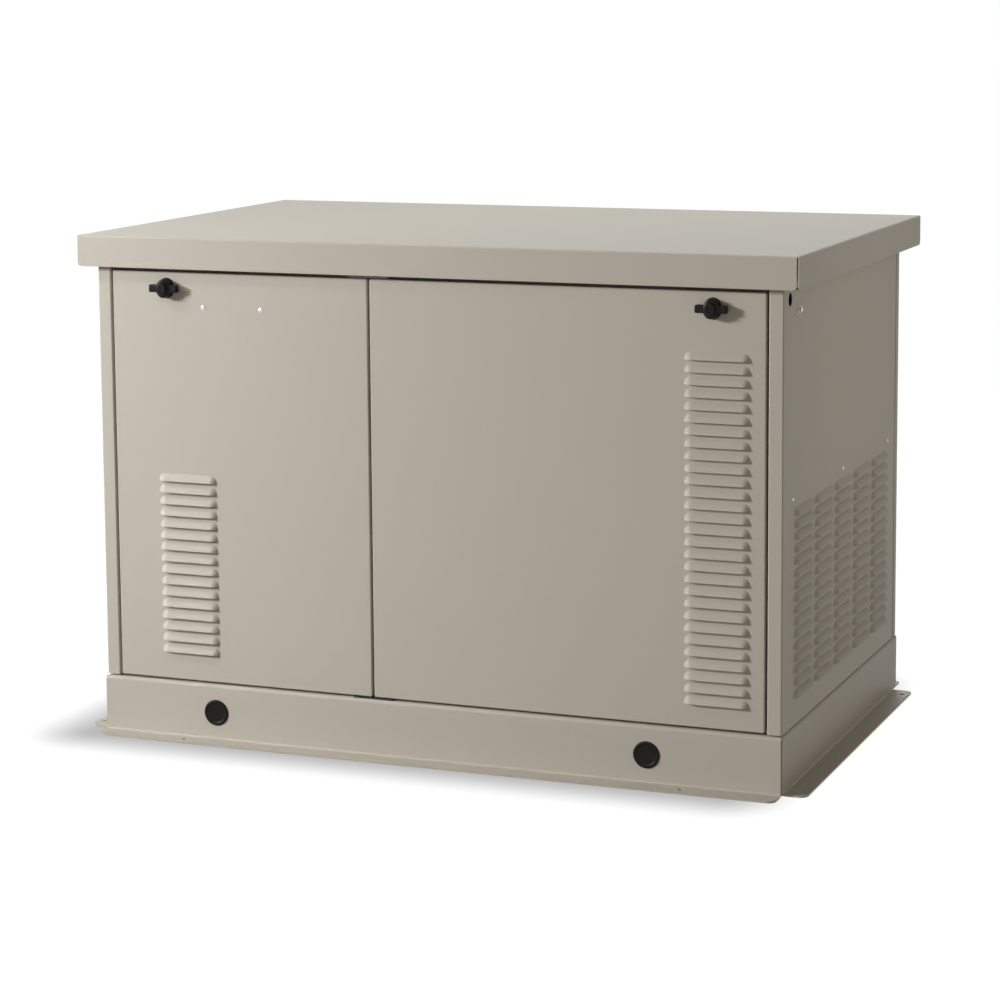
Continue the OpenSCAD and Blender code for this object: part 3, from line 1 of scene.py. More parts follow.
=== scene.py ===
# %% [markdown]
# A home standby generator is a steel cabinet, folded from sheet and powder coated, round an
# air-cooled engine and its alternator. This lesson dresses its frame, in metres, with +Z up and
# the doors towards -Y. First come the camera and the light, then one cell for each finish and
# each pressed, folded or moulded piece.

# %% Load the frame
import math
import bpy
import bmesh
from mathutils import Matrix, Vector
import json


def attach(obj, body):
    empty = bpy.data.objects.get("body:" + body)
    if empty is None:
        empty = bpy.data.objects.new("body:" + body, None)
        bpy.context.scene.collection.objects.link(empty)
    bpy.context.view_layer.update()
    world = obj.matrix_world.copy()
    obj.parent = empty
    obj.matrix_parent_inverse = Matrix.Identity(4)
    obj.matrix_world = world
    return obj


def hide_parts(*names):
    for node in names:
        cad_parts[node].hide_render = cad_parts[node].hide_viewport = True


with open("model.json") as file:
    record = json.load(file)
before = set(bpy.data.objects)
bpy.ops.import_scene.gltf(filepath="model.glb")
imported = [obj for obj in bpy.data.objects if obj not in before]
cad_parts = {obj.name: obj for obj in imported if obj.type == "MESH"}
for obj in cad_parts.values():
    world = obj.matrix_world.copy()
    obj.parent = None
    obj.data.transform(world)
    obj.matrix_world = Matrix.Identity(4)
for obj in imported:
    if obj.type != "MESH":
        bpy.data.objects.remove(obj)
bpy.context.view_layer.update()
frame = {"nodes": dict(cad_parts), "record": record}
MM = 0.001

# %% [markdown]
# Cameras, lamps and meshes are all put in the scene in one way, and every material and backdrop
# is a small tree of nodes. A few helpers do this, so that each tree below reads from its first
# node to its output.

# %% Helpers
def link(name, data):
    obj = bpy.data.objects.new(name, data)
    bpy.context.scene.collection.objects.link(obj)
    return obj


def wire(tree, made, into):
    """Fills a node's inputs, each with a plain value or by a link from a socket."""
    for title, value in into.items():
        if isinstance(value, bpy.types.NodeSocket):
            tree.links.new(value, made.inputs[title])
        else:
            made.inputs[title].default_value = value
    return made


def node(tree, kind, into=None, **settings):
    made = tree.nodes.new(kind)
    for title, value in settings.items():
        setattr(made, title, value)
    return wire(tree, made, into or {})


def math_node(tree, operation, a, b):
    return node(tree, "ShaderNodeMath", {0: a, 1: b}, operation=operation).outputs[0]


print("helpers ready")

# %% [markdown]
# The view is a long lens from the right of the front, a little above the roof. Part of the tilt
# is taken up by the lens's shift, so that the cabinet's upright edges stay close to parallel.

# %% Camera
def aim_camera(place, yaw, pitch, roll, lens, shift):
    data = bpy.data.cameras.new("front_right_camera")
    data.lens, data.sensor_width, data.shift_y = lens, 36.0, shift
    data.clip_start, data.clip_end = 0.1, 100.0
    obj = link("front_right_camera", data)
    forward = Vector((-math.sin(yaw) * math.cos(pitch), math.cos(yaw) * math.cos(pitch),
                      -math.sin(pitch)))
    right = Vector((math.cos(yaw), math.sin(yaw), 0.0))
    up = right.cross(forward)
    across = right * math.cos(roll) + up * math.sin(roll)
    above = up * math.cos(roll) - right * math.sin(roll)
    turn = Matrix((across, above, -forward)).transposed()
    obj.matrix_world = Matrix.Translation(place) @ turn.to_4x4()
    bpy.context.scene.camera = obj
    return obj


camera = aim_camera(place=Vector((1.80032, -4.58353, 1.28074)), yaw=0.37758, pitch=0.12982,
                    roll=-0.00701, lens=102.746, shift=-0.15)
print("camera", [round(v, 3) for v in camera.location])

# %% [markdown]
# A product stands in a pale studio. A large soft lamp low on the left grazes the louvres and
# leaves the right side darker, a weak one near it fills the left door, and one overhead lights
# the roof. A dim warm world and the floor's bounce fill the rest. The floor and the world show
# white only to the eye, and to gloss and glass, so that white never lights the cabinet.

# %% Studio
WHITE, WARM_ROOM, WARM_FLOOR = (1.0,) * 4, (1.0, 0.955, 0.89, 1.0), (1.0, 0.95, 0.87, 1.0)
DARK_MATTE = (0.06, 0.06, 0.06, 1.0)


def soft_lamp(name, place, target, size, power, tint=(1.0, 1.0, 1.0), spread=180.0):
    data = bpy.data.lights.new(name, "AREA")
    data.shape, data.size, data.energy, data.color = "DISK", size, power, tint
    data.spread = math.radians(spread)
    obj = link(name, data)
    place, target = Vector(place), Vector(target)
    obj.matrix_world = (Matrix.Translation(place)
                        @ (target - place).to_track_quat("-Z", "Y").to_matrix().to_4x4())
    return obj


def looked_at(tree):
    """1 for a ray from the eye, or for one that a shiny or clear surface passes on to it."""
    rays = node(tree, "ShaderNodeLightPath").outputs
    shiny = math_node(tree, "MAXIMUM", rays["Is Camera Ray"], rays["Is Glossy Ray"])
    return math_node(tree, "MAXIMUM", shiny, rays["Is Transmission Ray"])


def studio_world(fill):
    """White to look at and in reflections. A dim warm room, dark overhead, to light with."""
    world = bpy.data.worlds.new("studio_world")
    bpy.context.scene.world = world
    world.use_nodes = True
    tree = world.node_tree
    tree.nodes.clear()
    ray = node(tree, "ShaderNodeTexCoord").outputs["Generated"]
    height = node(tree, "ShaderNodeSeparateXYZ", {0: ray}).outputs["Z"]
    fade = node(tree, "ShaderNodeMapRange", {"Value": height, "To Min": fill, "To Max": 0.0})
    dim = node(tree, "ShaderNodeBackground", {"Color": WARM_ROOM, "Strength": fade.outputs[0]})
    white = node(tree, "ShaderNodeBackground", {"Color": WHITE, "Strength": 1.0})
    mix = node(tree, "ShaderNodeMixShader",
               {0: looked_at(tree), 1: dim.outputs[0], 2: white.outputs[0]})
    node(tree, "ShaderNodeOutputWorld", {"Surface": mix.outputs[0]})


def studio_floor(width, middle, shadow_half_size, spread, shadow_glow, glow_far, bounce):
    """A white floor with a painted shadow, a soft grey pool along the foot of the cabinet. It
    lights by bounce, less inside the painted shadow.
    """
    mesh = bpy.data.meshes.new("studio_floor")
    h = width / 2
    mesh.from_pydata([(-h, -h, 0), (h, -h, 0), (h, h, 0), (-h, h, 0)], [], [(0, 1, 2, 3)])
    floor = link("studio_floor", mesh)
    floor.location.z = -0.0004
    mat = bpy.data.materials.new("studio_floor")
    mat.use_nodes = True
    tree = mat.node_tree
    tree.nodes.clear()
    # How far a point lies outside the middle rectangle of the painted shadow.
    spot = node(tree, "ShaderNodeTexCoord").outputs["Object"]
    for step, value in (("SUBTRACT", middle), ("ABSOLUTE", None), ("SUBTRACT", shadow_half_size),
                        ("MAXIMUM", (0.0, 0.0, 0.0)), ("LENGTH", None)):
        reach = node(tree, "ShaderNodeVectorMath", {0: spot}, operation=step)
        if value:
            reach.inputs[1].default_value = value
        spot = reach.outputs[0]
    # Painted shadow: the floor's glow is dimmer near the rectangle and full beyond it.
    painted_shadow = node(tree, "ShaderNodeMapRange",
                {"Value": reach.outputs["Value"], "From Min": 0.0, "From Max": spread,
                 "To Min": shadow_glow, "To Max": glow_far}, interpolation_type="SMOOTHSTEP")
    eye = looked_at(tree)
    share = node(tree, "ShaderNodeMapRange", {"Value": eye, "To Min": bounce})
    tint = node(tree, "ShaderNodeMixRGB", {0: eye, 1: WARM_FLOOR, 2: WHITE})
    strength = math_node(tree, "MULTIPLY", share.outputs[0], painted_shadow.outputs[0])
    glow = node(tree, "ShaderNodeEmission", {"Color": tint.outputs[0], "Strength": strength})
    matte = node(tree, "ShaderNodeBsdfDiffuse", {"Color": DARK_MATTE})
    both = node(tree, "ShaderNodeAddShader", {0: matte.outputs[0], 1: glow.outputs[0]})
    node(tree, "ShaderNodeOutputMaterial", {"Surface": both.outputs[0]})
    mesh.materials.append(mat)


bpy.context.scene.view_settings.view_transform = "Standard"
studio_world(fill=0.38)
# Painted shadow: the floor is darker in a soft band round the cabinet's foot, set a little to the
# left.
studio_floor(width=60.0, middle=(-0.05, -0.012, 0.0), shadow_half_size=(0.557, 0.385, 1.0), spread=0.148,
             shadow_glow=0.44, glow_far=1.0, bounce=0.23)
key = soft_lamp("key_lamp", (-3.8, -2.95, 1.95), (0.0, -0.38, 0.45), size=0.8, power=207.0,
                tint=(0.99, 1.0, 1.06))
soft_lamp("near_lamp", (-1.5, -1.2, 2.0), (-0.5, -0.38, 0.35), size=0.4, power=0.9,
          tint=(0.98, 1.0, 1.06), spread=50.0)
soft_lamp("overhead_lamp", (-0.1, 1.2, 3.9), (0.0, 0.0, 0.8), size=2.0, power=60.0,
          tint=(0.95, 1.0, 1.06))
soft_lamp("side_lamp", (2.7, 0.4, 0.74), (0.6, 0.0, 0.70), size=0.5, power=0.20,
          tint=(1.0, 0.95, 0.86), spread=42.0)
soft_lamp("rear_lamp", (-0.3, 3.2, 0.55), (-0.1, 0.4, 0.45), size=0.6, power=8.0)
print("key lamp", [round(v, 2) for v in key.location])

# %% [markdown]
# Every finish here has a grain: powder coat dries like fine orange peel, castings are blasted,
# plastic copies its mould. One node group holds that grain. It mixes a slow mottle into the
# colour, shifts the roughness with it, and gives a height for a Bump node. It is built once, and
# each material places it with its own values.

# %% Shared node groups
def new_group(name, ins, outs):
    """An empty group with its sockets. Each holds a number, and the one named Colour a colour."""
    group = bpy.data.node_groups.new(name, "ShaderNodeTree")
    for way, titles in (("INPUT", ins), ("OUTPUT", outs)):
        for title in titles:
            kind = "NodeSocketColor" if title == "Colour" else "NodeSocketFloat"
            group.interface.new_socket(name=title, in_out=way, socket_type=kind)
    return group, group.nodes.new("NodeGroupInput"), group.nodes.new("NodeGroupOutput")


def grain_group():
    group, gin, gout = new_group(
        "surface_grain", ("Colour", "Mottle", "Roughness", "Roughness Spread", "Scale",
                          "Stretch X", "Stretch Z"), ("Colour", "Roughness", "Height"))
    given, spot = gin.outputs, node(group, "ShaderNodeTexCoord").outputs["Object"]
    slow = node(group, "ShaderNodeTexNoise", {"Vector": spot, "Scale": 5.0, "Detail": 3.0})
    stretch = node(group, "ShaderNodeCombineXYZ",
                   {0: given["Stretch X"], 1: 1.0, 2: given["Stretch Z"]})
    scaled = node(group, "ShaderNodeVectorMath", {0: spot, 1: stretch.outputs[0]},
                  operation="MULTIPLY")
    fine = node(group, "ShaderNodeTexNoise",
                {"Vector": scaled.outputs[0], "Scale": given["Scale"], "Detail": 2.0})
    # The mottle is centred on no change: 1 + mottle * (slow + fine / 2 - 0.75).
    half_fine = math_node(group, "MULTIPLY", fine.outputs["Fac"], 0.5)
    both = math_node(group, "ADD", slow.outputs["Fac"], half_fine)
    swing = math_node(group, "SUBTRACT", both, 0.75)
    level = math_node(group, "ADD", math_node(group, "MULTIPLY", swing, given["Mottle"]), 1.0)
    tint = node(group, "ShaderNodeVectorMath", {0: given["Colour"], "Scale": level},
                operation="SCALE")
    rough = math_node(group, "ADD", given["Roughness"],
                      math_node(group, "MULTIPLY", swing, given["Roughness Spread"]))
    wire(group, gout, {"Colour": tint.outputs[0], "Roughness": rough,
                       "Height": fine.outputs["Fac"]})
    return group


def cell_group():
    group, gin, gout = new_group("cell_pattern", ("Scale", "Contrast"), ("Shade", "Height"))
    spot = node(group, "ShaderNodeTexCoord").outputs["Object"]
    cells = node(group, "ShaderNodeTexVoronoi", {"Vector": spot, "Scale": gin.outputs["Scale"]})
    grey = node(group, "ShaderNodeRGBToBW", {0: cells.outputs["Color"]})
    centred = math_node(group, "SUBTRACT", grey.outputs[0], 0.5)
    change = math_node(group, "MULTIPLY", centred, gin.outputs["Contrast"])
    wire(group, gout, {"Shade": math_node(group, "ADD", change, 1.0),
                       "Height": cells.outputs["Distance"]})
    return group


GRAIN, CELLS = grain_group(), cell_group()
print("groups:", GRAIN.name, CELLS.name)

# %% [markdown]
# A finish is the grain group wired to a Principled shader. Metals differ from paint in one
# number, and brushed or drawn parts in how far the grain is stretched. Cells add what noise
# can't: zinc spangle on galvanised sheet, and open pores on foam.

# %% Finishes
def linear(rgb):
    """A colour from 0 to 255 as the renderer takes it."""
    def one(v):
        v /= 255.0
        return v / 12.92 if v <= 0.04045 else ((v + 0.055) / 1.055) ** 2.4
    return (*map(one, rgb), 1.0)


def finish(name, rgb, rough=0.5, metal=0.0, mottle=0.04, spread=0.08, scale=900.0, bump=0.05,
           depth=0.2, stretch=(1.0, 1.0), coat=0.0, gloss=0.5, cells=None):
    """A material. cells gives the pattern's scale, its contrast, and whether it is the relief."""
    mat = bpy.data.materials.new(name)
    mat.use_nodes = True
    tree = mat.node_tree
    grain = node(tree, "ShaderNodeGroup", {
        "Colour": linear(rgb), "Mottle": mottle, "Roughness": rough, "Roughness Spread": spread,
        "Scale": scale, "Stretch X": stretch[0], "Stretch Z": stretch[1]}, node_tree=GRAIN)
    shade, height = grain.outputs["Colour"], grain.outputs["Height"]
    if cells:
        size, contrast, is_relief = cells
        pattern = node(tree, "ShaderNodeGroup", {"Scale": size, "Contrast": contrast},
                       node_tree=CELLS)
        shade = node(tree, "ShaderNodeVectorMath",
                     {0: shade, "Scale": pattern.outputs["Shade"]}, operation="SCALE").outputs[0]
        if is_relief:
            height = pattern.outputs["Height"]
    relief = node(tree, "ShaderNodeBump",
                  {"Strength": bump, "Distance": depth * MM, "Height": height})
    wire(tree, tree.nodes["Principled BSDF"], {
        "Base Color": shade, "Roughness": grain.outputs["Roughness"], "Normal": relief.outputs[0],
        "Metallic": metal, "Coat Weight": coat, "Coat Roughness": 0.1,
        "Specular IOR Level": gloss})
    return mat


FINISH = {
    "cabinet_paint": finish("taupe_powder_coat", (193, 186, 171), 0.54, mottle=0.03, scale=700.0,
                            bump=0.10, depth=0.25, gloss=0.20),
    "black_plastic": finish("black_moulded_plastic", (17, 15, 13), 0.42, mottle=0.10,
                            scale=1400.0, bump=0.12, depth=0.15, gloss=0.16),
    "dark_plastic": finish("charcoal_moulded_plastic", (66, 67, 70), 0.48, mottle=0.06,
                           scale=1400.0, bump=0.12, depth=0.15),
    "white_plastic": finish("white_moulded_plastic", (226, 225, 220), 0.32, mottle=0.02, coat=0.2),
    "yellow_plastic": finish("yellow_moulded_plastic", (226, 178, 38), 0.36, mottle=0.05,
                             coat=0.2),
    "galvanised": finish("galvanised_sheet", (176, 179, 182), 0.42, 0.9, mottle=0.08,
                         scale=500.0, bump=0.03, cells=(120.0, 0.34, False)),
    "zinc_steel": finish("zinc_plated_steel", (196, 195, 190), 0.30, 1.0, mottle=0.10,
                         stretch=(0.15, 1.0)),
    "cast_aluminium": finish("blasted_cast_aluminium", (168, 169, 170), 0.52, 0.85, mottle=0.10,
                             scale=650.0, bump=0.30, depth=0.35),
    "cast_iron": finish("machined_cast_iron", (92, 92, 94), 0.46, 0.9, mottle=0.16, scale=520.0,
                        bump=0.22, depth=0.3),
    "exhaust_steel": finish("aluminised_exhaust_steel", (148, 140, 128), 0.40, 0.9, mottle=0.34,
                            spread=0.2, scale=240.0, bump=0.08),
    "black_paint": finish("black_enamel", (30, 30, 31), 0.34, mottle=0.12, scale=500.0,
                          bump=0.06, coat=0.15),
    "white_paint": finish("white_enamel", (224, 223, 218), 0.26, mottle=0.03, scale=500.0,
                          coat=0.35),
    "foam": finish("charcoal_acoustic_foam", (58, 58, 60), 0.92, mottle=0.2, scale=800.0,
                   bump=0.8, depth=1.2, cells=(420.0, 0.5, True)),
    "mount_rubber": finish("black_rubber", (30, 30, 30), 0.68, mottle=0.15, bump=0.15),
    "cable_rubber": finish("red_cable_jacket", (150, 30, 24), mottle=0.1),
    "plug_ceramic": finish("glazed_ceramic", (232, 230, 224), 0.14, mottle=0.02, coat=0.6),
    "filter_paper": finish("pleated_filter_paper", (214, 196, 148), 0.85, mottle=0.12,
                           scale=260.0, bump=0.5, depth=0.8, stretch=(1.0, 0.04)),
    "fuel_brass": finish("brass_and_die_cast_alloy", (182, 156, 104), 0.34, 0.95, mottle=0.14,
                         scale=420.0, bump=0.10),
}
ROUTE = {entry["node"]: entry["material_slot"] for entry in frame["record"]["subparts"]}
for name, obj in frame["nodes"].items():
    obj.data.materials.clear()
    obj.data.materials.append(FINISH[ROUTE[name]])
print("finishes:", len(FINISH))

# %% [markdown]
# The cabinet's panels are open surfaces with louvres pressed into them, and Solidify gives them
# their gauge. The flat part of a panel is filled round the outlines of its louvres, so it has no
# hidden edges and no face crosses a slot. Each builder works in a panel's own plane: u across,
# v up, and w out of the face.

# %% Mesh helpers
GAUGE = 1.5 * MM


def mm(*values):
    return [v * MM for v in values]


def modify(obj, kind, **settings):
    made = obj.modifiers.new(kind.title(), kind)
    for title, value in settings.items():
        setattr(made, title, value)


def bake(obj):
    """Applies every modifier, so that later cells see the final mesh."""
    seen = obj.evaluated_get(bpy.context.evaluated_depsgraph_get())
    mesh = bpy.data.meshes.new_from_object(seen)
    obj.modifiers.clear()
    obj.data = mesh
    return obj


def bevelled(obj, width, segments=2, method="NONE", **more):
    """Rounds the edges by a width in mm: all of them, or those that the method picks."""
    modify(obj, "BEVEL", width=width * MM, segments=segments, limit_method=method, **more)
    return bake(obj)


def from_bmesh(name, bm):
    mesh = bpy.data.meshes.new(name)
    bm.to_mesh(mesh)
    bm.free()
    return link(name, mesh)


def shade(obj, angle):
    """Smooth bends beside flat faces: the flat faces keep their own direction."""
    obj.data.polygons.foreach_set("use_smooth", [True] * len(obj.data.polygons))
    obj.data.set_sharp_from_angle(angle=math.radians(angle))
    modify(obj, "WEIGHTED_NORMAL", keep_sharp=True, weight=60)
    return bake(obj)


def dress(obj, body, slot, *nodes, smooth=38):
    """Gives a piece its finish, its body and the plain parts that it stands for."""
    shade(obj, smooth)
    obj.data.materials.clear()
    obj.data.materials.append(FINISH[slot])
    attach(obj, body)
    if nodes:
        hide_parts(*nodes)
    return obj


class Skin:
    """Collects points by place, so that neighbouring patches share their vertices."""

    def __init__(self):
        self.bm, self.seen = bmesh.new(), {}

    def point(self, x, y, z):
        spot = (round(x * 1e6), round(y * 1e6), round(z * 1e6))
        if spot not in self.seen:
            self.seen[spot] = self.bm.verts.new((x, y, z))
        return self.seen[spot]

    def face(self, points, smooth=False):
        ring = []
        for p in points:
            v = self.point(*p)
            if v not in ring:
                ring.append(v)
        if len(ring) > 2 and not self.bm.faces.get(ring):
            self.bm.faces.new(ring).smooth = smooth

    def loft(self, rings, closed=True):
        """Smooth faces from each ring, or open line, of points to the next."""
        for first, second in zip(rings, rings[1:]):
            for i in range(len(first) if closed else len(first) - 1):
                j = (i + 1) % len(first)
                self.face([first[i], first[j], second[j], second[i]], True)

    def fill(self, outer, holes):
        """A flat face with holes, all given as rings of points."""
        edges = []
        for ring in [outer] + holes:
            verts = [self.point(*p) for p in ring]
            for a, b in zip(verts, verts[1:] + verts[:1]):
                if a is not b:
                    edges.append(self.bm.edges.get((a, b)) or self.bm.edges.new((a, b)))
        bmesh.ops.triangle_fill(self.bm, use_beauty=True, use_dissolve=False, edges=edges)

    def build(self, name):
        """A closed shape, with its normals turned out."""
        bmesh.ops.recalc_face_normals(self.bm, faces=self.bm.faces)
        return from_bmesh(name, self.bm)

    def build_sheet(self, name, outward):
        """An open skin, turned so that most of it faces outward, and thickened inwards."""
        bmesh.ops.recalc_face_normals(self.bm, faces=self.bm.faces)
        total = sum((f.normal * f.calc_area() for f in self.bm.faces), Vector())
        if total.dot(Vector(outward)) < 0:
            bmesh.ops.reverse_faces(self.bm, faces=self.bm.faces)
        obj = from_bmesh(name, self.bm)
        modify(obj, "SOLIDIFY", thickness=GAUGE, offset=-1.0)
        return bake(obj)


def quarter(steps):
    """The angles of a quarter turn."""
    return [math.radians(90 * i / steps) for i in range(steps + 1)]


# %% [markdown]
# A louvre is slit along its lower edge and pressed out into a hood, highest at the slit and
# sloping back to the sheet above it. Its ends are rounded shoulders, as a draw die leaves them,
# so each is bright on one side and dark on the other. The hood is a small grid of points whose
# height is the slope up the hood times the shoulder across it. A boolean of boxes would leave
# sharp blocks that catch the light wrongly.

# %% Louvres
LOUVRE_L, LOUVRE_P, LOUVRE_H, LOUVRE_END = mm(108.0, 7.5, 12.6, 12.0)
ROW_PITCH = 19.64 * MM
ROWS = (0.0, 0.08, 0.3, 0.52, 0.72, 0.88, 1.0)
SHOULDER = (0.0, 0.14, 0.32, 0.55, 0.8, 1.0)


def louvre_rings(skin, place, cu, cv):
    """Adds one hood, and returns the outline it leaves in the flat sheet."""
    half = LOUVRE_L / 2
    rows = []
    for v in ROWS:
        rise = LOUVRE_P * (1.0 - v ** 1.5)
        reach = half - LOUVRE_END * 0.72 * (1.0 - (1.0 - v ** 2.0) ** 0.5)
        side = []
        for s in SHOULDER:
            u = reach + (half - LOUVRE_END - reach) * s
            side.append((u, rise * math.sin(math.pi / 2 * s) ** 0.9))
        line = [(-u, w) for u, w in side] + side[::-1]
        rows.append([place(cu + u, cv + v * LOUVRE_H, w) for u, w in line])
    skin.loft(rows, closed=False)
    return [r[0] for r in rows] + rows[-1][1:-1] + [r[-1] for r in rows[::-1]]


def louvred_flat(skin, place, outer, louvres):
    """Fills the ring outer, which lies in the panel's plane, round its louvres."""
    skin.fill(outer, [louvre_rings(skin, place, u, v) for u, v in louvres])


def column(u, start, rows):
    return [(u * MM, start * MM + i * ROW_PITCH) for i in range(rows)]


# %% [markdown]
# Each door is one sheet, folded back all round with a small bend radius. The bend is a set of
# rounded outlines: each ring is a little larger and a little further back than the last, which
# also rounds the corners as a welded and linished door has them.

# %% Doors
FRONT, DOOR_Z0, DOOR_Z1, DOOR_T = mm(-371.5, 99.5, 796.0, 12.0)
BEND, CORNER_R, BUSH_R, BUSH_L = mm(2.0, 0.4, 5.6, 16.5)


def rounded(u0, u1, v0, v1, r, n=4):
    ring = []
    for cu, cv, start in ((u1 - r, v1 - r, 0), (u0 + r, v1 - r, 90), (u0 + r, v0 + r, 180),
                          (u1 - r, v0 + r, 270)):
        for i in range(n + 1):
            a = math.radians(start + 90 * i / n)
            ring.append((cu + r * math.cos(a), cv + r * math.sin(a)))
    return ring


def door(name, u0, u1, louvres, node_name):
    def ring(grow, back):
        return [(u, FRONT + back, v) for u, v in rounded(
            u0 + grow, u1 - grow, DOOR_Z0 + grow, DOOR_Z1 - grow, CORNER_R + BEND - grow)]

    skin = Skin()
    rings = [ring(BEND * (1 - math.sin(a)), BEND * (1 - math.cos(a))) for a in quarter(5)]
    skin.loft(rings + [ring(0.0, DOOR_T)])
    louvred_flat(skin, lambda u, v, w: (u, FRONT - w, v), rings[0], louvres)
    obj = skin.build_sheet(name, (0, -1, 0))
    dress(obj, node_name, "cabinet_paint", node_name)
    print(name, len(obj.data.polygons), "faces")


def hinge_bushes(name, pivot, edge, body):
    """Folded ears that carry the pins, at the foot and the head of a door's hinged edge."""
    bm = bmesh.new()
    lo, hi = sorted((pivot, edge))
    for z in (DOOR_Z0 + GAUGE, DOOR_Z1 - 18 * MM):
        bush = bmesh.ops.create_cone(bm, cap_ends=True, segments=32, radius1=BUSH_R,
                                     radius2=BUSH_R, depth=BUSH_L)
        for v in bush["verts"]:
            v.co += Vector((pivot, FRONT + DOOR_T / 2, z + BUSH_L / 2))
        arm = bmesh.ops.create_cube(bm, size=1.0)
        for v in arm["verts"]:
            v.co = Vector(((lo + hi) / 2 + v.co.x * (hi - lo - 2 * GAUGE),
                           FRONT + DOOR_T / 2 + v.co.y * 5 * MM,
                           z + BUSH_L / 2 + v.co.z * 16 * MM))
    obj = bevelled(from_bmesh(name, bm), 0.5, method="ANGLE")
    dress(obj, body, "cabinet_paint", smooth=35)


SPLIT_L, SPLIT_R, LEFT_EDGE, RIGHT_EDGE = mm(-102.6, -98.6, -572, 572)
PIN_IN = 14 * MM
door("left_door_skin", LEFT_EDGE, SPLIT_L, column(-437.2, 147.0, 16), "left_door")
door("right_door_skin", SPLIT_R, RIGHT_EDGE, column(493.2, 137.8, 29), "right_door")
hinge_bushes("left_door_bushes", SPLIT_L - PIN_IN, SPLIT_L, "left_door")
hinge_bushes("right_door_bushes", SPLIT_R + PIN_IN, SPLIT_R, "right_door")

# %% [markdown]
# A side panel is folded round the front corner into the post that a door closes beside, and
# turned in at its rear edge, where the rear panel laps it. In plan that is one bent line, so the
# panel is that line drawn up, with louvres pressed into its long face. The left panel is plain,
# and the right one has five columns of louvres below a row of rivets.

# %% Side and rear panels
SIDE_X, BACK, PAN_TOP, PANEL_Z1 = mm(600.0, 371.5, 98.0, 846.0)
POST_X, POST_IN, SIDE_END, STEP_IN = mm(576.0, 15, 347.0, 14)
WRAP, REAR_LIP, FOLD_R, RETURN, RETURN_END = mm(20.5, 12.5, 2.5, 20, 22)
INLET_X, INLET_Z = mm(-452, 200)
COLUMN_PITCH, SLOT_Z, SLOT_ROWS = 122, 142.2, 16


def bent(points, n=5):
    """A plan line of (x, y) points, with each inner corner rounded as the sheet bends."""
    line, r = [Vector(points[0])], FOLD_R
    for before, here, after in zip(points, points[1:], points[2:]):
        here = Vector(here)
        a = (Vector(before) - here).normalized()
        b = (Vector(after) - here).normalized()
        centre = here + (a + b) * r
        start = math.atan2(*(here + a * r - centre).yx)
        stop = math.atan2(*(here + b * r - centre).yx)
        sweep = (stop - start + math.pi) % (2 * math.pi) - math.pi
        line += [centre + Vector((math.cos(start + sweep * i / n),
                                  math.sin(start + sweep * i / n))) * r for i in range(n + 1)]
    line.append(Vector(points[-1]))
    return line


def columns(middle, count):
    """Columns of louvres side by side, about a middle line in mm."""
    return [p for c in range(count)
            for p in column(middle + (c - (count - 1) / 2) * COLUMN_PITCH, SLOT_Z, SLOT_ROWS)]


def folded_panel(name, line, along, place, inset, louvres, outward):
    """A plan line drawn up. Its longest stretch, which runs along x or y, carries the louvres."""
    skin = Skin()
    flat = max(range(len(line) - 1), key=lambda i: (line[i + 1] - line[i]).length)
    for i, (a, b) in enumerate(zip(line, line[1:])):
        if i != flat:
            skin.face([(a.x, a.y, PAN_TOP), (b.x, b.y, PAN_TOP), (b.x, b.y, PANEL_Z1),
                       (a.x, a.y, PANEL_Z1)], (b - a).length < 2 * FOLD_R)
    lo, hi = sorted(getattr(p, along) for p in line[flat:flat + 2])
    corners = ((lo, PAN_TOP), (hi, PAN_TOP), (hi, PANEL_Z1), (lo, PANEL_Z1))
    louvred_flat(skin, place, [place(u, v, 0.0) for u, v in corners], louvres)
    for z in (PAN_TOP, PANEL_Z1):
        skin.face([place(lo, z, 0.0), place(hi, z, 0.0), place(hi - inset, z, -RETURN),
                   place(lo + inset, z, -RETURN)])
    return skin.build_sheet(name, outward)


def cut(obj, *cutters):
    for cutter in cutters:
        modify(obj, "BOOLEAN", operation="DIFFERENCE", solver="EXACT", object=cutter)
    bake(obj)
    for cutter in cutters:
        bpy.data.objects.remove(cutter)
    return obj


def rod(name, start, along, r, length, segments=40):
    """A plain cylinder, for cutting holes. along is its direction, one unit long."""
    bm = bmesh.new()
    bmesh.ops.create_cone(bm, cap_ends=True, segments=segments, radius1=r, radius2=r, depth=length)
    along = Vector(along)
    turn = along.to_track_quat("Z", "Y").to_matrix().to_4x4()
    bm.transform(Matrix.Translation(Vector(start) + along * length / 2) @ turn)
    return from_bmesh(name, bm)


def side_panel(name, s, louvres, node_name):
    plan = [(POST_X, FRONT + POST_IN), (POST_X, FRONT), (SIDE_X, FRONT), (SIDE_X, SIDE_END),
            (SIDE_X - STEP_IN, SIDE_END), (SIDE_X - STEP_IN, SIDE_END + WRAP - 4 * MM)]
    line = [Vector((p.x * s, p.y)) for p in bent(plan)]
    obj = folded_panel(name, line, "y", lambda u, v, w: (s * (SIDE_X + w), u, v), 0.0, louvres,
                       (s, -0.2, 0))
    screw_hole = rod("hole", (s * 590 * MM, FRONT + 35.5 * MM, DOOR_Z1 - 13 * MM), (s, 0, 0),
                     10.5 * MM, 20 * MM)
    dress(cut(obj, screw_hole), "cabinet", "cabinet_paint", node_name)
    print(name, len(obj.data.polygons), "faces")


def rear_panel():
    right = [(SIDE_X - REAR_LIP, BACK - WRAP), (SIDE_X, BACK - WRAP), (SIDE_X, BACK)]
    plan = right + [(-x, y) for x, y in right[::-1]]
    obj = folded_panel("rear_panel_skin", bent(plan), "x",
                       lambda u, v, w: (u, BACK + w, v), RETURN_END, columns(-60, 3), (0, 1, 0))
    return dress(obj, "cabinet", "cabinet_paint")


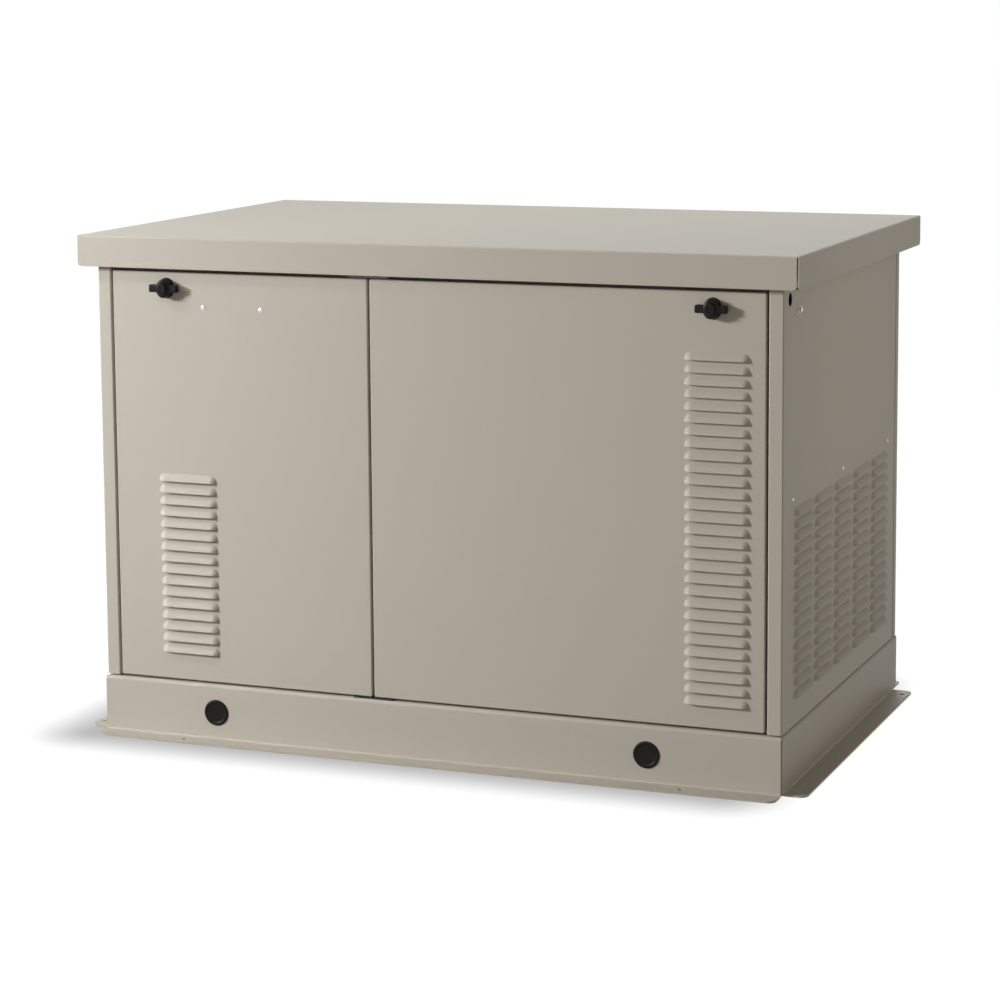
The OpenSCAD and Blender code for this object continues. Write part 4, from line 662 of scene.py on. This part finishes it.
side_panel("right_side_skin", 1, columns(-7, 5), "right_side_panel")
side_panel("left_side_skin", -1, [], "left_side_panel")
rear = rear_panel()
cut(rear, rod("inlet", (INLET_X, 360 * MM, INLET_Z), (0, 1, 0), 13.5 * MM, 20 * MM))
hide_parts("rear_panel")
print("rear panel", len(rear.data.polygons), "faces")

# %% [markdown]
# The roof is one sheet too: a flat top with four flaps folded down, each with its lower corners
# rounded off, and a narrow hem turned in. The corners are not welded, so a thin slit stays open
# beside each front and rear flap. The flaps are built one by one from the top's edges, because
# a single rounded tray would close those slits.

# %% Roof
ROOF_X, ROOF_Y0, ROOF_Y1, ROOF_Z0, ROOF_Z1 = mm(628.4, -389.2, 408, 803, 855.5)
ROOF_BEND, ROOF_SLIT, FLAP_R, HEM = mm(3.4, 3.8, 8.0, 10)


def roof_flap(skin, place, stops):
    """place takes (out, along, up) from the top's edge; stops are the points along it."""
    rings = [[place(-ROOF_BEND * (1 - math.sin(a)), t, ROOF_Z1 - ROOF_BEND * (1 - math.cos(a)))
              for t in stops] for a in quarter(5)]
    skin.loft(rings, closed=False)
    lo, hi = stops[0], stops[-1]
    curve = [(FLAP_R * (1 - math.sin(a)), FLAP_R * (1 - math.cos(a))) for a in quarter(6)]
    skin.face(rings[-1] + [place(0.0, hi - c, ROOF_Z0 + s) for s, c in curve]
              + [place(0.0, lo + s, ROOF_Z0 + c) for s, c in curve])
    lo, hi = lo + FLAP_R, hi - FLAP_R
    skin.face([place(0.0, lo, ROOF_Z0), place(0.0, hi, ROOF_Z0),
               place(-HEM, hi - HEM, ROOF_Z0), place(-HEM, lo + HEM, ROOF_Z0)])


def roof():
    skin = Skin()
    x0, x1 = -ROOF_X + 0.6 * MM, ROOF_X - ROOF_SLIT
    for y, s in ((ROOF_Y0, -1), (ROOF_Y1, 1)):
        roof_flap(skin, lambda out, t, z: (t, y + s * out, z), [x0, x1])
    x, y0, y1 = ROOF_X - ROOF_BEND, ROOF_Y0 + ROOF_BEND, ROOF_Y1 - ROOF_BEND
    for s in (-1, 1):
        roof_flap(skin, lambda out, t, z: (s * (ROOF_X + out), t, z),
                  [ROOF_Y0 + 0.3 * MM, y0, y1, ROOF_Y1 - 0.3 * MM])
    skin.face([(u, y0, ROOF_Z1) for u in (-x, x0, x1, x)]
              + [(u, y1, ROOF_Z1) for u in (x, x1, x0, -x)])
    return dress(skin.build_sheet("roof_skin", (0, 0, 1)), "roof", "cabinet_paint", "roof")


print("roof", len(roof().data.polygons), "faces")

# %% [markdown]
# The base is four rails of thicker sheet. Each has a wide bend at its top, a wall, and a flange
# turned out at its foot with rounded ends and two anchor holes. A rail is its section drawn
# along its length and cut to shape, and a small bevel takes the sharpness off the sheared edges.

# %% Base rails
BASE_X, BASE_Y, BASE_H, BASE_T = mm(601.5, 377.5, 96, 3)
FLANGE_F, FLANGE_S, RAIL_IN, TOP_R, FOOT_R, NICK_R = mm(36.5, 38, 30, 6, 3, 14)
LIFT_XS, LIFT_Z, LIFT_R = mm(-389.2, 378.6), 48.5 * MM, 20 * MM
ANCHOR_X, ANCHOR_R, SIDE_ANCHORS, SIDE_ENDS = 442 * MM, 4.5 * MM, mm(-338, 315), mm(-367, 344)


def arc(cx, cy, r, a0, a1, n=8):
    return [(cx + r * math.cos(math.radians(a0 + (a1 - a0) * i / n)),
             cy + r * math.sin(math.radians(a0 + (a1 - a0) * i / n))) for i in range(n + 1)]


def rail_section(flange):
    return ([(flange, 0), (flange, BASE_T)]
            + arc(FOOT_R, BASE_T + FOOT_R, FOOT_R, 270, 180)
            + arc(-TOP_R, BASE_H - TOP_R, TOP_R, 0, 90)
            + [(-RAIL_IN, BASE_H), (-RAIL_IN, BASE_H - BASE_T)]
            + arc(-TOP_R, BASE_H - TOP_R, TOP_R - BASE_T, 90, 0)
            + arc(FOOT_R, BASE_T + FOOT_R, FOOT_R + BASE_T, 180, 270))


def drawn_section(name, section, place, a, b):
    """A closed section drawn from a to b. place takes (out, up, along)."""
    bm = bmesh.new()
    ends = [[bm.verts.new(place(u, v, t)) for u, v in section] for t in (a, b)]
    count = len(section)
    for i in range(count):
        j = (i + 1) % count
        bm.faces.new((ends[0][i], ends[0][j], ends[1][j], ends[1][i]))
    bm.faces.new(ends[0][::-1])
    bm.faces.new(ends[1])
    bmesh.ops.recalc_face_normals(bm, faces=bm.faces)
    return from_bmesh(name, bm)


def prism(name, outline, z0, z1):
    """An outline in the ground plane, drawn up."""
    return drawn_section(name, outline, lambda x, y, z: (x, y, z), z0, z1)


def boxed(name, xs, ys, zs):
    """A box between two places on each axis, in either order."""
    (x0, x1), (y0, y1) = sorted(xs), sorted(ys)
    return prism(name, [(x0, y0), (x1, y0), (x1, y1), (x0, y1)], *zs)


def corner_nick(cx, cy, sx, sy):
    """What is cut off to round a flange's corner whose square tip is at cx, cy."""
    ox, oy = cx - sx * NICK_R, cy - sy * NICK_R
    curve = [(ox + sx * u, oy + sy * v) for u, v in arc(0, 0, NICK_R, 0, 90, 10)]
    line = curve + [(ox - sx * MM, oy + sy * (NICK_R + MM)), (cx + sx * MM, cy + sy * MM),
                    (ox + sx * (NICK_R + MM), oy - sy * MM)]
    return prism("nick", line, -MM, BASE_T + MM)


def anchor_hole(x, y):
    return rod("hole", (x, y, -MM), (0, 0, 1), ANCHOR_R, 6 * MM, 24)


def cut_rail(obj, cutters, node_name):
    cut(obj, *cutters)
    bevelled(obj, 0.35, method="ANGLE", angle_limit=math.radians(50))
    dress(obj, "cabinet", "cabinet_paint", node_name, smooth=40)


def long_rail(name, s, node_name):
    half = BASE_X - MM
    obj = drawn_section(name, rail_section(FLANGE_F),
                        lambda u, v, t: (t, s * (BASE_Y + u), v), -half, half)
    cutters = []
    for sx in (-1, 1):
        cutters += [
            corner_nick(sx * half, s * (BASE_Y + FLANGE_F), sx, s),
            anchor_hole(sx * ANCHOR_X, s * (BASE_Y + 0.52 * FLANGE_F)),
            boxed("room", (sx * (BASE_X - 7 * MM), sx * (BASE_X + MM)),
                  (s * (BASE_Y - BASE_T - 1.5 * MM), s * (BASE_Y - 34 * MM)),
                  (BASE_H - 12 * MM, BASE_H + MM))]
    cutters += [rod("hole", (x, s * (BASE_Y - 6 * MM), LIFT_Z), (0, s, 0), LIFT_R, 12 * MM)
                for x in LIFT_XS]
    cut_rail(obj, cutters, node_name)


def side_rail(name, s, node_name):
    obj = drawn_section(name, rail_section(FLANGE_S),
                        lambda u, v, t: (s * (BASE_X + u), t, v), -BASE_Y, BASE_Y)
    cutters = []
    for sy, flange_end, anchor_y in zip((-1, 1), SIDE_ENDS, SIDE_ANCHORS):
        tip = sy * (BASE_Y + MM)
        for x0, x1, y, top in (
                (BASE_X - 20 * MM, BASE_X + 0.2 * MM, sy * (BASE_Y - 5 * MM), BASE_H + MM),
                (BASE_X - 40 * MM, BASE_X - 6 * MM, sy * (BASE_Y - 36 * MM), BASE_H + MM),
                (BASE_X - 0.1 * MM, BASE_X + FLANGE_S + MM, flange_end, 8 * MM)):
            cutters.append(boxed("end", (s * x0, s * x1), (y, tip), (-MM, top)))
        cutters += [corner_nick(s * (BASE_X + FLANGE_S), flange_end, s, sy),
                    anchor_hole(s * (BASE_X + 0.67 * FLANGE_S), anchor_y)]
    cut_rail(obj, cutters, node_name)


long_rail("front_rail", -1, "base_front_rail")
long_rail("rear_rail", 1, "base_rear_rail")
side_rail("right_rail", 1, "base_right_rail")
side_rail("left_rail", -1, "base_left_rail")
print("base rails done")

# %% [markdown]
# The lift holes are closed by moulded plugs: a thin domed lip that hides the edge of the hole,
# round a flat cap. A turned shape like this is its outline spun round an axis.

# %% Lift hole plugs
def spun(name, profile, place, segments=56):
    """Spins (radius, height) points, in mm, round an axis. place takes (a, b, height)."""
    skin = Skin()
    turns = [2 * math.pi * i / segments for i in range(segments)]
    rings = [[place(r * MM * math.cos(t), r * MM * math.sin(t), h * MM) for t in turns]
             for r, h in profile]
    skin.loft(rings)
    for ring, r in ((rings[0], profile[0][0]), (rings[-1], profile[-1][0])):
        if r > 0 and profile[0] != profile[-1]:
            skin.face(ring)
    return skin.build(name)


def at(x, y, z, axis="y", s=1):
    """Stands a spun shape at a place, with its height along an axis, or against it."""
    return {"x": lambda a, b, h: (x + s * h, y + a, z + b),
            "y": lambda a, b, h: (x + a, y + s * h, z + b),
            "z": lambda a, b, h: (x + a, y + b, z + s * h)}[axis]


PLUG = [(18.0, -6.8), (19.9, -6.8), (19.9, 0.0), (22.2, 0.0), (22.2, 0.8), (21.7, 1.6),
        (20.6, 2.2), (19.0, 2.4), (17.2, 2.1), (16.2, 1.3), (15.4, 1.0), (0.0, 1.0)]
plugs = [dress(spun("lift_plug_%d" % i, PLUG, at(x, s * BASE_Y, LIFT_Z, s=s)), "cabinet",
               "black_plastic")
         for i, (s, x) in enumerate((s, x) for s in (-1, 1) for x in LIFT_XS)]
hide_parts("lift_hole_plugs")

# %% [markdown]
# Blind rivets and screws are small, but they catch the light as bright points. A rivet is a low
# dome with a dimple where its stem broke off, and the side's screw is a hexagon head on a flange.

# %% Rivets and screws
def joined(name, parts):
    bm = bmesh.new()
    for part in parts:
        bm.from_mesh(part.data)
        bpy.data.objects.remove(part)
    return from_bmesh(name, bm)


RIVET = [(4.6, 0.0), (4.5, 0.5), (3.7, 1.0), (2.4, 1.2), (1.5, 1.15), (1.2, 0.7), (0.0, 0.6)]
RIVET_TAIL = [(0.0, -4.5), (3.4, -4.5), (4.0, -3.6), (4.0, -1.5), (2.4, -1.5), (2.4, 0.0)]
SCREW_NUT = [(0.0, -7.0), (4.5, -7.0), (4.5, -3.0), (2.4, -3.0), (2.4, 0.0)]
DOOR_RIVET_XS, DOOR_RIVET_Z = mm(-402, -295), 737 * MM
SIDE_RIVET_YS, SIDE_RIVET_Z = mm(-315, -9, 297), 465.2 * MM
SCREW_Y, SCREW_Z = FRONT + 87.5 * MM, 762 * MM


def rivets():
    parts = [spun("rivet", profile, at(x, FRONT, DOOR_RIVET_Z, s=-1), 28)
             for profile in (RIVET, RIVET_TAIL) for x in DOOR_RIVET_XS]
    dress(joined("door_rivets", parts), "left_door", "zinc_steel", "left_door_rivets")


def side_screws():
    parts = []
    for s in (-1, 1):
        place = at(s * SIDE_X, SCREW_Y, SCREW_Z, "x", s)
        for radius, low, high, sides in ((5.5, 0.0, 1.1, 32), (4.4, 1.1, 4.2, 6)):
            head = [(radius, low), (radius, high - 0.3), (radius - 0.4, high), (0.0, high)]
            parts.append(spun("screw", head, place, sides))
        parts.append(spun("nut", SCREW_NUT, place, 24))
    parts += [spun("rivet", [(r * 0.65, h) for r, h in RIVET],
                   at(SIDE_X, y, SIDE_RIVET_Z, "x"), 24) for y in SIDE_RIVET_YS]
    dress(joined("side_fasteners", parts), "cabinet", "zinc_steel", "side_screws")


rivets()
side_screws()

# %% [markdown]
# A latch is a moulded knob on a round base, with two wings to turn it by. The knob is spun from
# its outline, and the wings are a rounded bar joined to it. Behind the door, a steel washer
# holds it, and its cam swings behind the rail.

# %% Latches
LATCH_Z, OVAL = 769 * MM, 0.84
KNOB = [(0.0, 0.0), (17.4, 0.0), (17.4, 1.6), (16.9, 2.6), (16.2, 3.2), (16.0, 4.4),
        (15.6, 14.0), (14.6, 15.8), (12.4, 16.6), (11.6, 17.0), (11.2, 18.0), (10.9, 20.4),
        (10.0, 21.6), (8.6, 22.0), (4.4, 22.0), (3.8, 21.2), (0.0, 21.0)]


def latch(name, x, inward, body, node_name):
    place = at(x, FRONT, LATCH_Z, s=-1)
    knob = spun(name, KNOB, lambda a, b, h: place(OVAL * a, b, h))
    wing = bevelled(boxed("wing", (x - 26 * MM, x + 26 * MM), (FRONT - 16 * MM, FRONT - 4.2 * MM),
                          (LATCH_Z - 6.5 * MM, LATCH_Z + 6.5 * MM)), 2.6, 4)
    modify(knob, "BOOLEAN", operation="UNION", solver="EXACT", object=wing)
    bake(knob)
    bpy.data.objects.remove(wing)
    shaft = spun("shaft", [(0.0, -27.9), (6, -27.9), (6, 1), (0.0, 1)], place, 32)
    cam = bevelled(boxed("cam", (x - inward * 6 * MM, x + inward * 32 * MM), mm(-344.97, -341.97),
                         (LATCH_Z - 8 * MM, LATCH_Z + 8 * MM)), 0.8)
    washer = spun("washer", [(10, -2), (10, -5), (6, -5.4)], place, 40)
    dress(joined(name, [knob, shaft, cam, washer]), body, "black_plastic", node_name, smooth=35)


latch("left_latch_knob", -470 * MM, 1, "left_latch", "left_latch")
latch("right_latch_knob", 486 * MM, -1, "right_latch", "right_latch")
print("latches done")

# %% [markdown]
# Inside the cabinet. Housings get rounded edges; the parts that are turned, moulded or bent
# are made again with the detail that they have.

# %% Rounded housings
def softened(name, body, width, slot=None):
    """A housing again, with its flat faces merged and its edges rounded."""
    bm = bmesh.new()
    bm.from_mesh(frame["nodes"][name].data)
    bmesh.ops.remove_doubles(bm, verts=bm.verts, dist=0.002 * MM)
    bmesh.ops.dissolve_limit(bm, angle_limit=math.radians(0.8), verts=bm.verts, edges=bm.edges)
    obj = bevelled(from_bmesh(name + "_dressed", bm), width, method="ANGLE",
                   angle_limit=math.radians(38), use_clamp_overlap=True)
    dress(obj, body, slot or ROUTE[name], name)


for housing, owner, width in (
        ("controller_box", "cabinet", 1.4), ("mode_switch", "mode_switch", 0.5),
        ("circuit_breaker", "cabinet", 1.2), ("breaker_lever", "breaker_lever", 0.7),
        ("battery", "cabinet", 2.4), ("battery_tray", "cabinet", 0.6),
        ("fuel_mixer", "cabinet", 1.2), ("engine_skid", "cabinet", 0.9),
        ("valve_covers", "cabinet", 2.4), ("roof_hinge_bases", "cabinet", 0.8),
        ("roof_hinge_leaves", "roof", 0.6), ("prop_bracket", "roof", 0.5),
        ("oil_fill_cap", "oil_cap", 1.2), ("air_cleaner_knob", "air_cleaner_knob", 1.0),
        ("starter_motor", "cabinet", 1.0)):
    softened(housing, owner, width)
# What the gap between the doors shows is painted with the cabinet, and its pins are blackened.
# Painted shade: a thin sheet of black rubber lies on the tongue of the floor pan that carries the
# lower pins, so that the gap between the doors stays dark there.
softened("centre_mullion", "cabinet", 0.4, "cabinet_paint")
softened("door_hinge_pins", "cabinet", 0.6, "black_paint")
tongue_shade_sheet = boxed("hinge_tongue_shade_sheet", mm(-136.0, -65.2), mm(-372.9, -345.0), mm(96.2, 98.4))
dress(bevelled(tongue_shade_sheet, 0.2), "cabinet", "mount_rubber")
print("housings done")

# %% [markdown]
# The controller's face carries a dark glass display, four moulded keys, three lamps and four
# screws. Each is a small turned or bevelled body that stands a few millimetres off the face,
# with no words on it. Nothing is lit, since the machine is at rest.

# %% Controller face
FACE = -333 * MM
GLASS = finish("dark_display_glass", (22, 40, 44), 0.10, mottle=0.02, scale=300.0, bump=0.01,
               coat=0.5)
LAMP_TONES = {"green": (46, 138, 66), "amber": (226, 150, 30), "red": (176, 34, 28)}
LAMPS = {colour: finish("moulded_lens_" + colour, tone, 0.22, mottle=0.05, coat=0.3)
         for colour, tone in LAMP_TONES.items()}
CAP = [(9.6, -0.2), (9.6, 1.5), (9.2, 2.3), (8.2, 2.9), (6.6, 3.1), (5.6, 2.8), (0.0, 2.6)]
LENS = [(2.9, -0.3), (2.9, 0.4), (2.5, 0.7), (2.3, 1.5), (1.6, 2.2), (0.0, 2.5)]
PAN_HEAD = [(3.6, -0.3), (3.6, 0.6), (3.1, 1.5), (1.7, 1.9), (1.5, 1.0), (0.0, 0.9)]


def on_face(name, profile, x, z, slot="dark_plastic", segments=24):
    obj = spun(name, profile, at(x * MM, FACE, z * MM, s=-1), segments)
    return dress(obj, "cabinet", slot)


glass = boxed("display_glass", mm(-471.6, -351.4), (FACE + 0.4 * MM, FACE + 2.0 * MM),
              mm(667.4, 706.6))
dress(bevelled(glass, 0.5), "cabinet", "dark_plastic").data.materials[0] = GLASS
for i, (x, z, colour) in enumerate(((-361, 603, "green"), (-391, 603, "red"), (-361, 633, None),
                                    (-391, 633, None))):
    cap = on_face("key_cap_%d" % i, CAP, x, z, segments=40)
    if colour:
        cap.data.materials[0] = LAMPS[colour]
for i, (colour, material) in enumerate(LAMPS.items()):
    lens = on_face("lamp_" + colour, LENS, -502, 668 + 16 * i)
    lens.data.materials[0] = material
for i, (x, z) in enumerate(((-530, 581), (-339, 581), (-530, 717), (-339, 717))):
    on_face("controller_screw_%d" % i, PAN_HEAD, x, z, "zinc_steel")
print("controller done")

# %% [markdown]
# A starting battery has two vent covers with three caps each, and two lead posts. Each cable is
# a rubber tube, with a thicker boot where it leaves the clamp round its post. It is swept along
# an eased line, so it bends as a cable that is pushed into place, never at a corner.

# %% Battery top and its two cables
VENT = [(7.0, 294.6), (7.0, 296.4), (6.2, 297.2), (2.2, 297.2), (1.8, 296.4), (0.0, 296.4)]
LUG = [(8.05, 293.4), (12.4, 293.4), (13.0, 294.0), (13.0, 304.4), (12.4, 305.0), (8.05, 305.0),
       (8.05, 293.4)]
for i, x in enumerate((-522, -434)):
    cover = bevelled(boxed("vent_cover", mm(x, x + 50), mm(-264, -222), mm(290.6, 295.2)), 1.6, 3)
    caps = [spun("cap", VENT, at(*mm(x + step, -243, 0), "z"), 28) for step in (10, 25, 40)]
    dress(joined("battery_vents_%d" % i, [cover] + caps), "cabinet", "black_plastic")


def eased(points, radius, steps=7):
    """A route in metres with its corners rounded."""
    points = [Vector(p) * MM for p in points]
    line, radius = [points[0]], radius * MM
    for before, corner, after in zip(points, points[1:], points[2:]):
        reach = min(radius, (before - corner).length * 0.48, (after - corner).length * 0.48)
        a = corner + (before - corner).normalized() * reach
        b = corner + (after - corner).normalized() * reach
        for i in range(steps + 1):
            t = i / steps
            line.append(a.lerp(corner, t).lerp(corner.lerp(b, t), t))
    return line + [points[-1]]


def hose(name, line, r, segments=18):
    skin = Skin()
    side, rings = Vector((0.31, 0.17, 0.93)), []
    for i, here in enumerate(line):
        along = (line[min(i + 1, len(line) - 1)] - line[max(i - 1, 0)]).normalized()
        side = (side - along * side.dot(along)).normalized()
        other = along.cross(side)
        rings.append([tuple(here + (side * math.cos(a) + other * math.sin(a)) * r * MM)
                      for a in (2 * math.pi * k / segments for k in range(segments))])
    skin.loft(rings)
    skin.face(rings[0])
    skin.face(rings[-1])
    return skin.build(name)


def lug(x, y):
    """The clamp round a battery post."""
    ear = boxed("ear", mm(x - 6, x + 6), mm(y + 11.5, y + 21), mm(294.2, 304.2))
    return [spun("ring", LUG, at(*mm(x, y, 0), "z"), 48), bevelled(ear, 1.2)]


for name, slot, x, route in (
        ("positive_cable", "cable_rubber", -373,
         [(-373, -270, 299), (-373, -190, 299), (-333, -190, 300), (-287, -190, 300),
          (-45, -126, 300), (-45, -126, 256)]),
        ("negative_cable", "mount_rubber", -533,
         [(-533, -270, 299), (-533, -178, 299), (-533, -178, 102)])):
    cable = hose(name, eased(route, 16), 5.0)
    boot = hose("boot", [(Vector(route[0]) + Vector((0, y, 0))) * MM
                         for y in (-3, -1, 10, 18, 19)], 6.6)
    dress(joined(name, [cable, boot]), "cabinet", slot)
    dress(joined(name + "_clamp", lug(x, -300)), "cabinet", "zinc_steel")
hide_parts("battery_cables")
print("battery done")

# %% [markdown]
# The spin-on filter has a fluted grip at its end, the starter motor is held by two steel straps,
# and the air cleaner has a moulded lid with a stepped rim. All three are round, so each is a
# profile turned round its own axis, which keeps the seams and the edges true.

# %% Oil filter, starter straps and air cleaner cover
CAN = [(0.0, 0.0), (31.8, 0.0), (31.8, 6.0), (34.6, 6.2), (36.0, 7.6), (36.0, 10.0), (35.3, 11.2),
       (35.3, 64.0), (34.9, 70.0), (34.6, 78.0), (33.8, 84.0), (31.4, 88.4), (27.4, 90.6),
       (20.0, 91.6), (12.0, 90.8), (0.0, 90.6)]
CAN_PLACE, GRIP_START = at(*mm(-141, -98, 245), s=-1), 69


def fluted(a, b, h):
    """Grip flutes round the closed end of the can."""
    r, turn = math.hypot(a, b), math.atan2(b, a)
    if h > GRIP_START * MM and r > 25 * MM:
        pull = 1 - 0.035 * max(0.0, math.cos(15 * turn)) * min(1.0, (h / MM - GRIP_START) / 8)
        a, b = a * pull, b * pull
    return CAN_PLACE(a, b, h)


BAND = [(35.6, -5.0), (36.8, -4.6), (37.2, -3.8), (37.2, 3.8), (36.8, 4.6), (35.6, 5.0),
        (35.6, -5.0)]
COVER = [(4.6, 665.0), (26.0, 665.0), (28.0, 664.0), (30.0, 662.9), (58.0, 662.9), (60.0, 664.0),
         (62.0, 665.0), (92.0, 665.0), (97.0, 664.2), (104.0, 659.8), (110.4, 655.4),
         (112.0, 651.6), (112.0, 600.0), (110.8, 598.6), (110.8, 595.4), (112.0, 594.0),
         (112.0, 586.4), (111.2, 585.0), (109.0, 585.0), (109.0, 653.0), (95.0, 661.9),
         (4.6, 661.9), (4.6, 665.0)]
dress(spun("oil_filter_can", CAN, fluted, 120), "cabinet", "white_paint", "oil_filter")
for i, x in enumerate((-78, -8)):
    band = spun("starter_band_%d" % i, BAND, at(*mm(x, -126, 203), "x"), 64)
    dress(band, "cabinet", "zinc_steel")
dress(spun("air_cleaner_shell", COVER, at(*mm(-92, 10, 0), "z"), 112), "cabinet",
      "black_plastic", "air_cleaner_cover")
print("engine bay done")

# %% [markdown]
# Each roof hinge is riveted through the back panel, and the gas line ends there in a hexagonal
# brass collar. Rivet heads are low domes. A collar's hexagon is a profile turned in six steps,
# and its round lip is one turned in many, so the same few lines make all of them.

# %% Fasteners and fuel inlet on the back
NUT = [(19.1, 0.1), (25.4, 0.1), (25.4, 4.0), (23.6, 5.2), (19.1, 5.2), (19.1, 0.1)]
LIP = [(9.2, 5.0), (9.2, 7.0), (10.4, 8.0), (18.4, 8.0), (19.3, 7.2), (19.3, 5.9), (18.7, 5.5),
       (18.7, 5.0), (9.2, 5.0)]
heads = [spun("head", [(r * 1.05, h * 1.2) for r, h in RIVET],
              at(x * MM, BACK + 2 * MM, 767 * MM), 28) for x in (-438, -402, 402, 438)]
dress(joined("hinge_rivets", heads), "cabinet", "zinc_steel")
collar = at(INLET_X, BACK, INLET_Z)
nut, lip = spun("nut", NUT, collar, 6), spun("lip", LIP, collar, 64)
dress(joined("fuel_inlet_collar", [nut, lip]), "cabinet", "fuel_brass", smooth=28)
print("back done")

# %% [markdown]
# A muffler's end is a pressed cap, rolled over the shell in a lip, with a ring pressed in it to
# make it stiff. It is turned from one profile and takes the same heat-tinted finish as the body.

# %% Muffler ends
DISH = [(75.6, -7.0), (76.4, -6.0), (76.4, 0.6), (75.6, 2.2), (73.2, 2.8), (70.6, 2.0),
        (69.4, 0.7), (61.0, 0.5), (57.0, 2.4), (51.0, 3.4), (45.0, 2.4), (41.0, 0.8), (26.0, 0.8),
        (20.0, 2.2), (0.0, 2.8)]
ends = [spun("dish", DISH, at(*mm(488, y, 407), s=s), 72) for y, s in ((-234, -1), (254, 1))]
dress(joined("muffler_end_caps", ends), "cabinet", "exhaust_steel")
print("muffler done")

# %% [markdown]

# %% Last import
import json
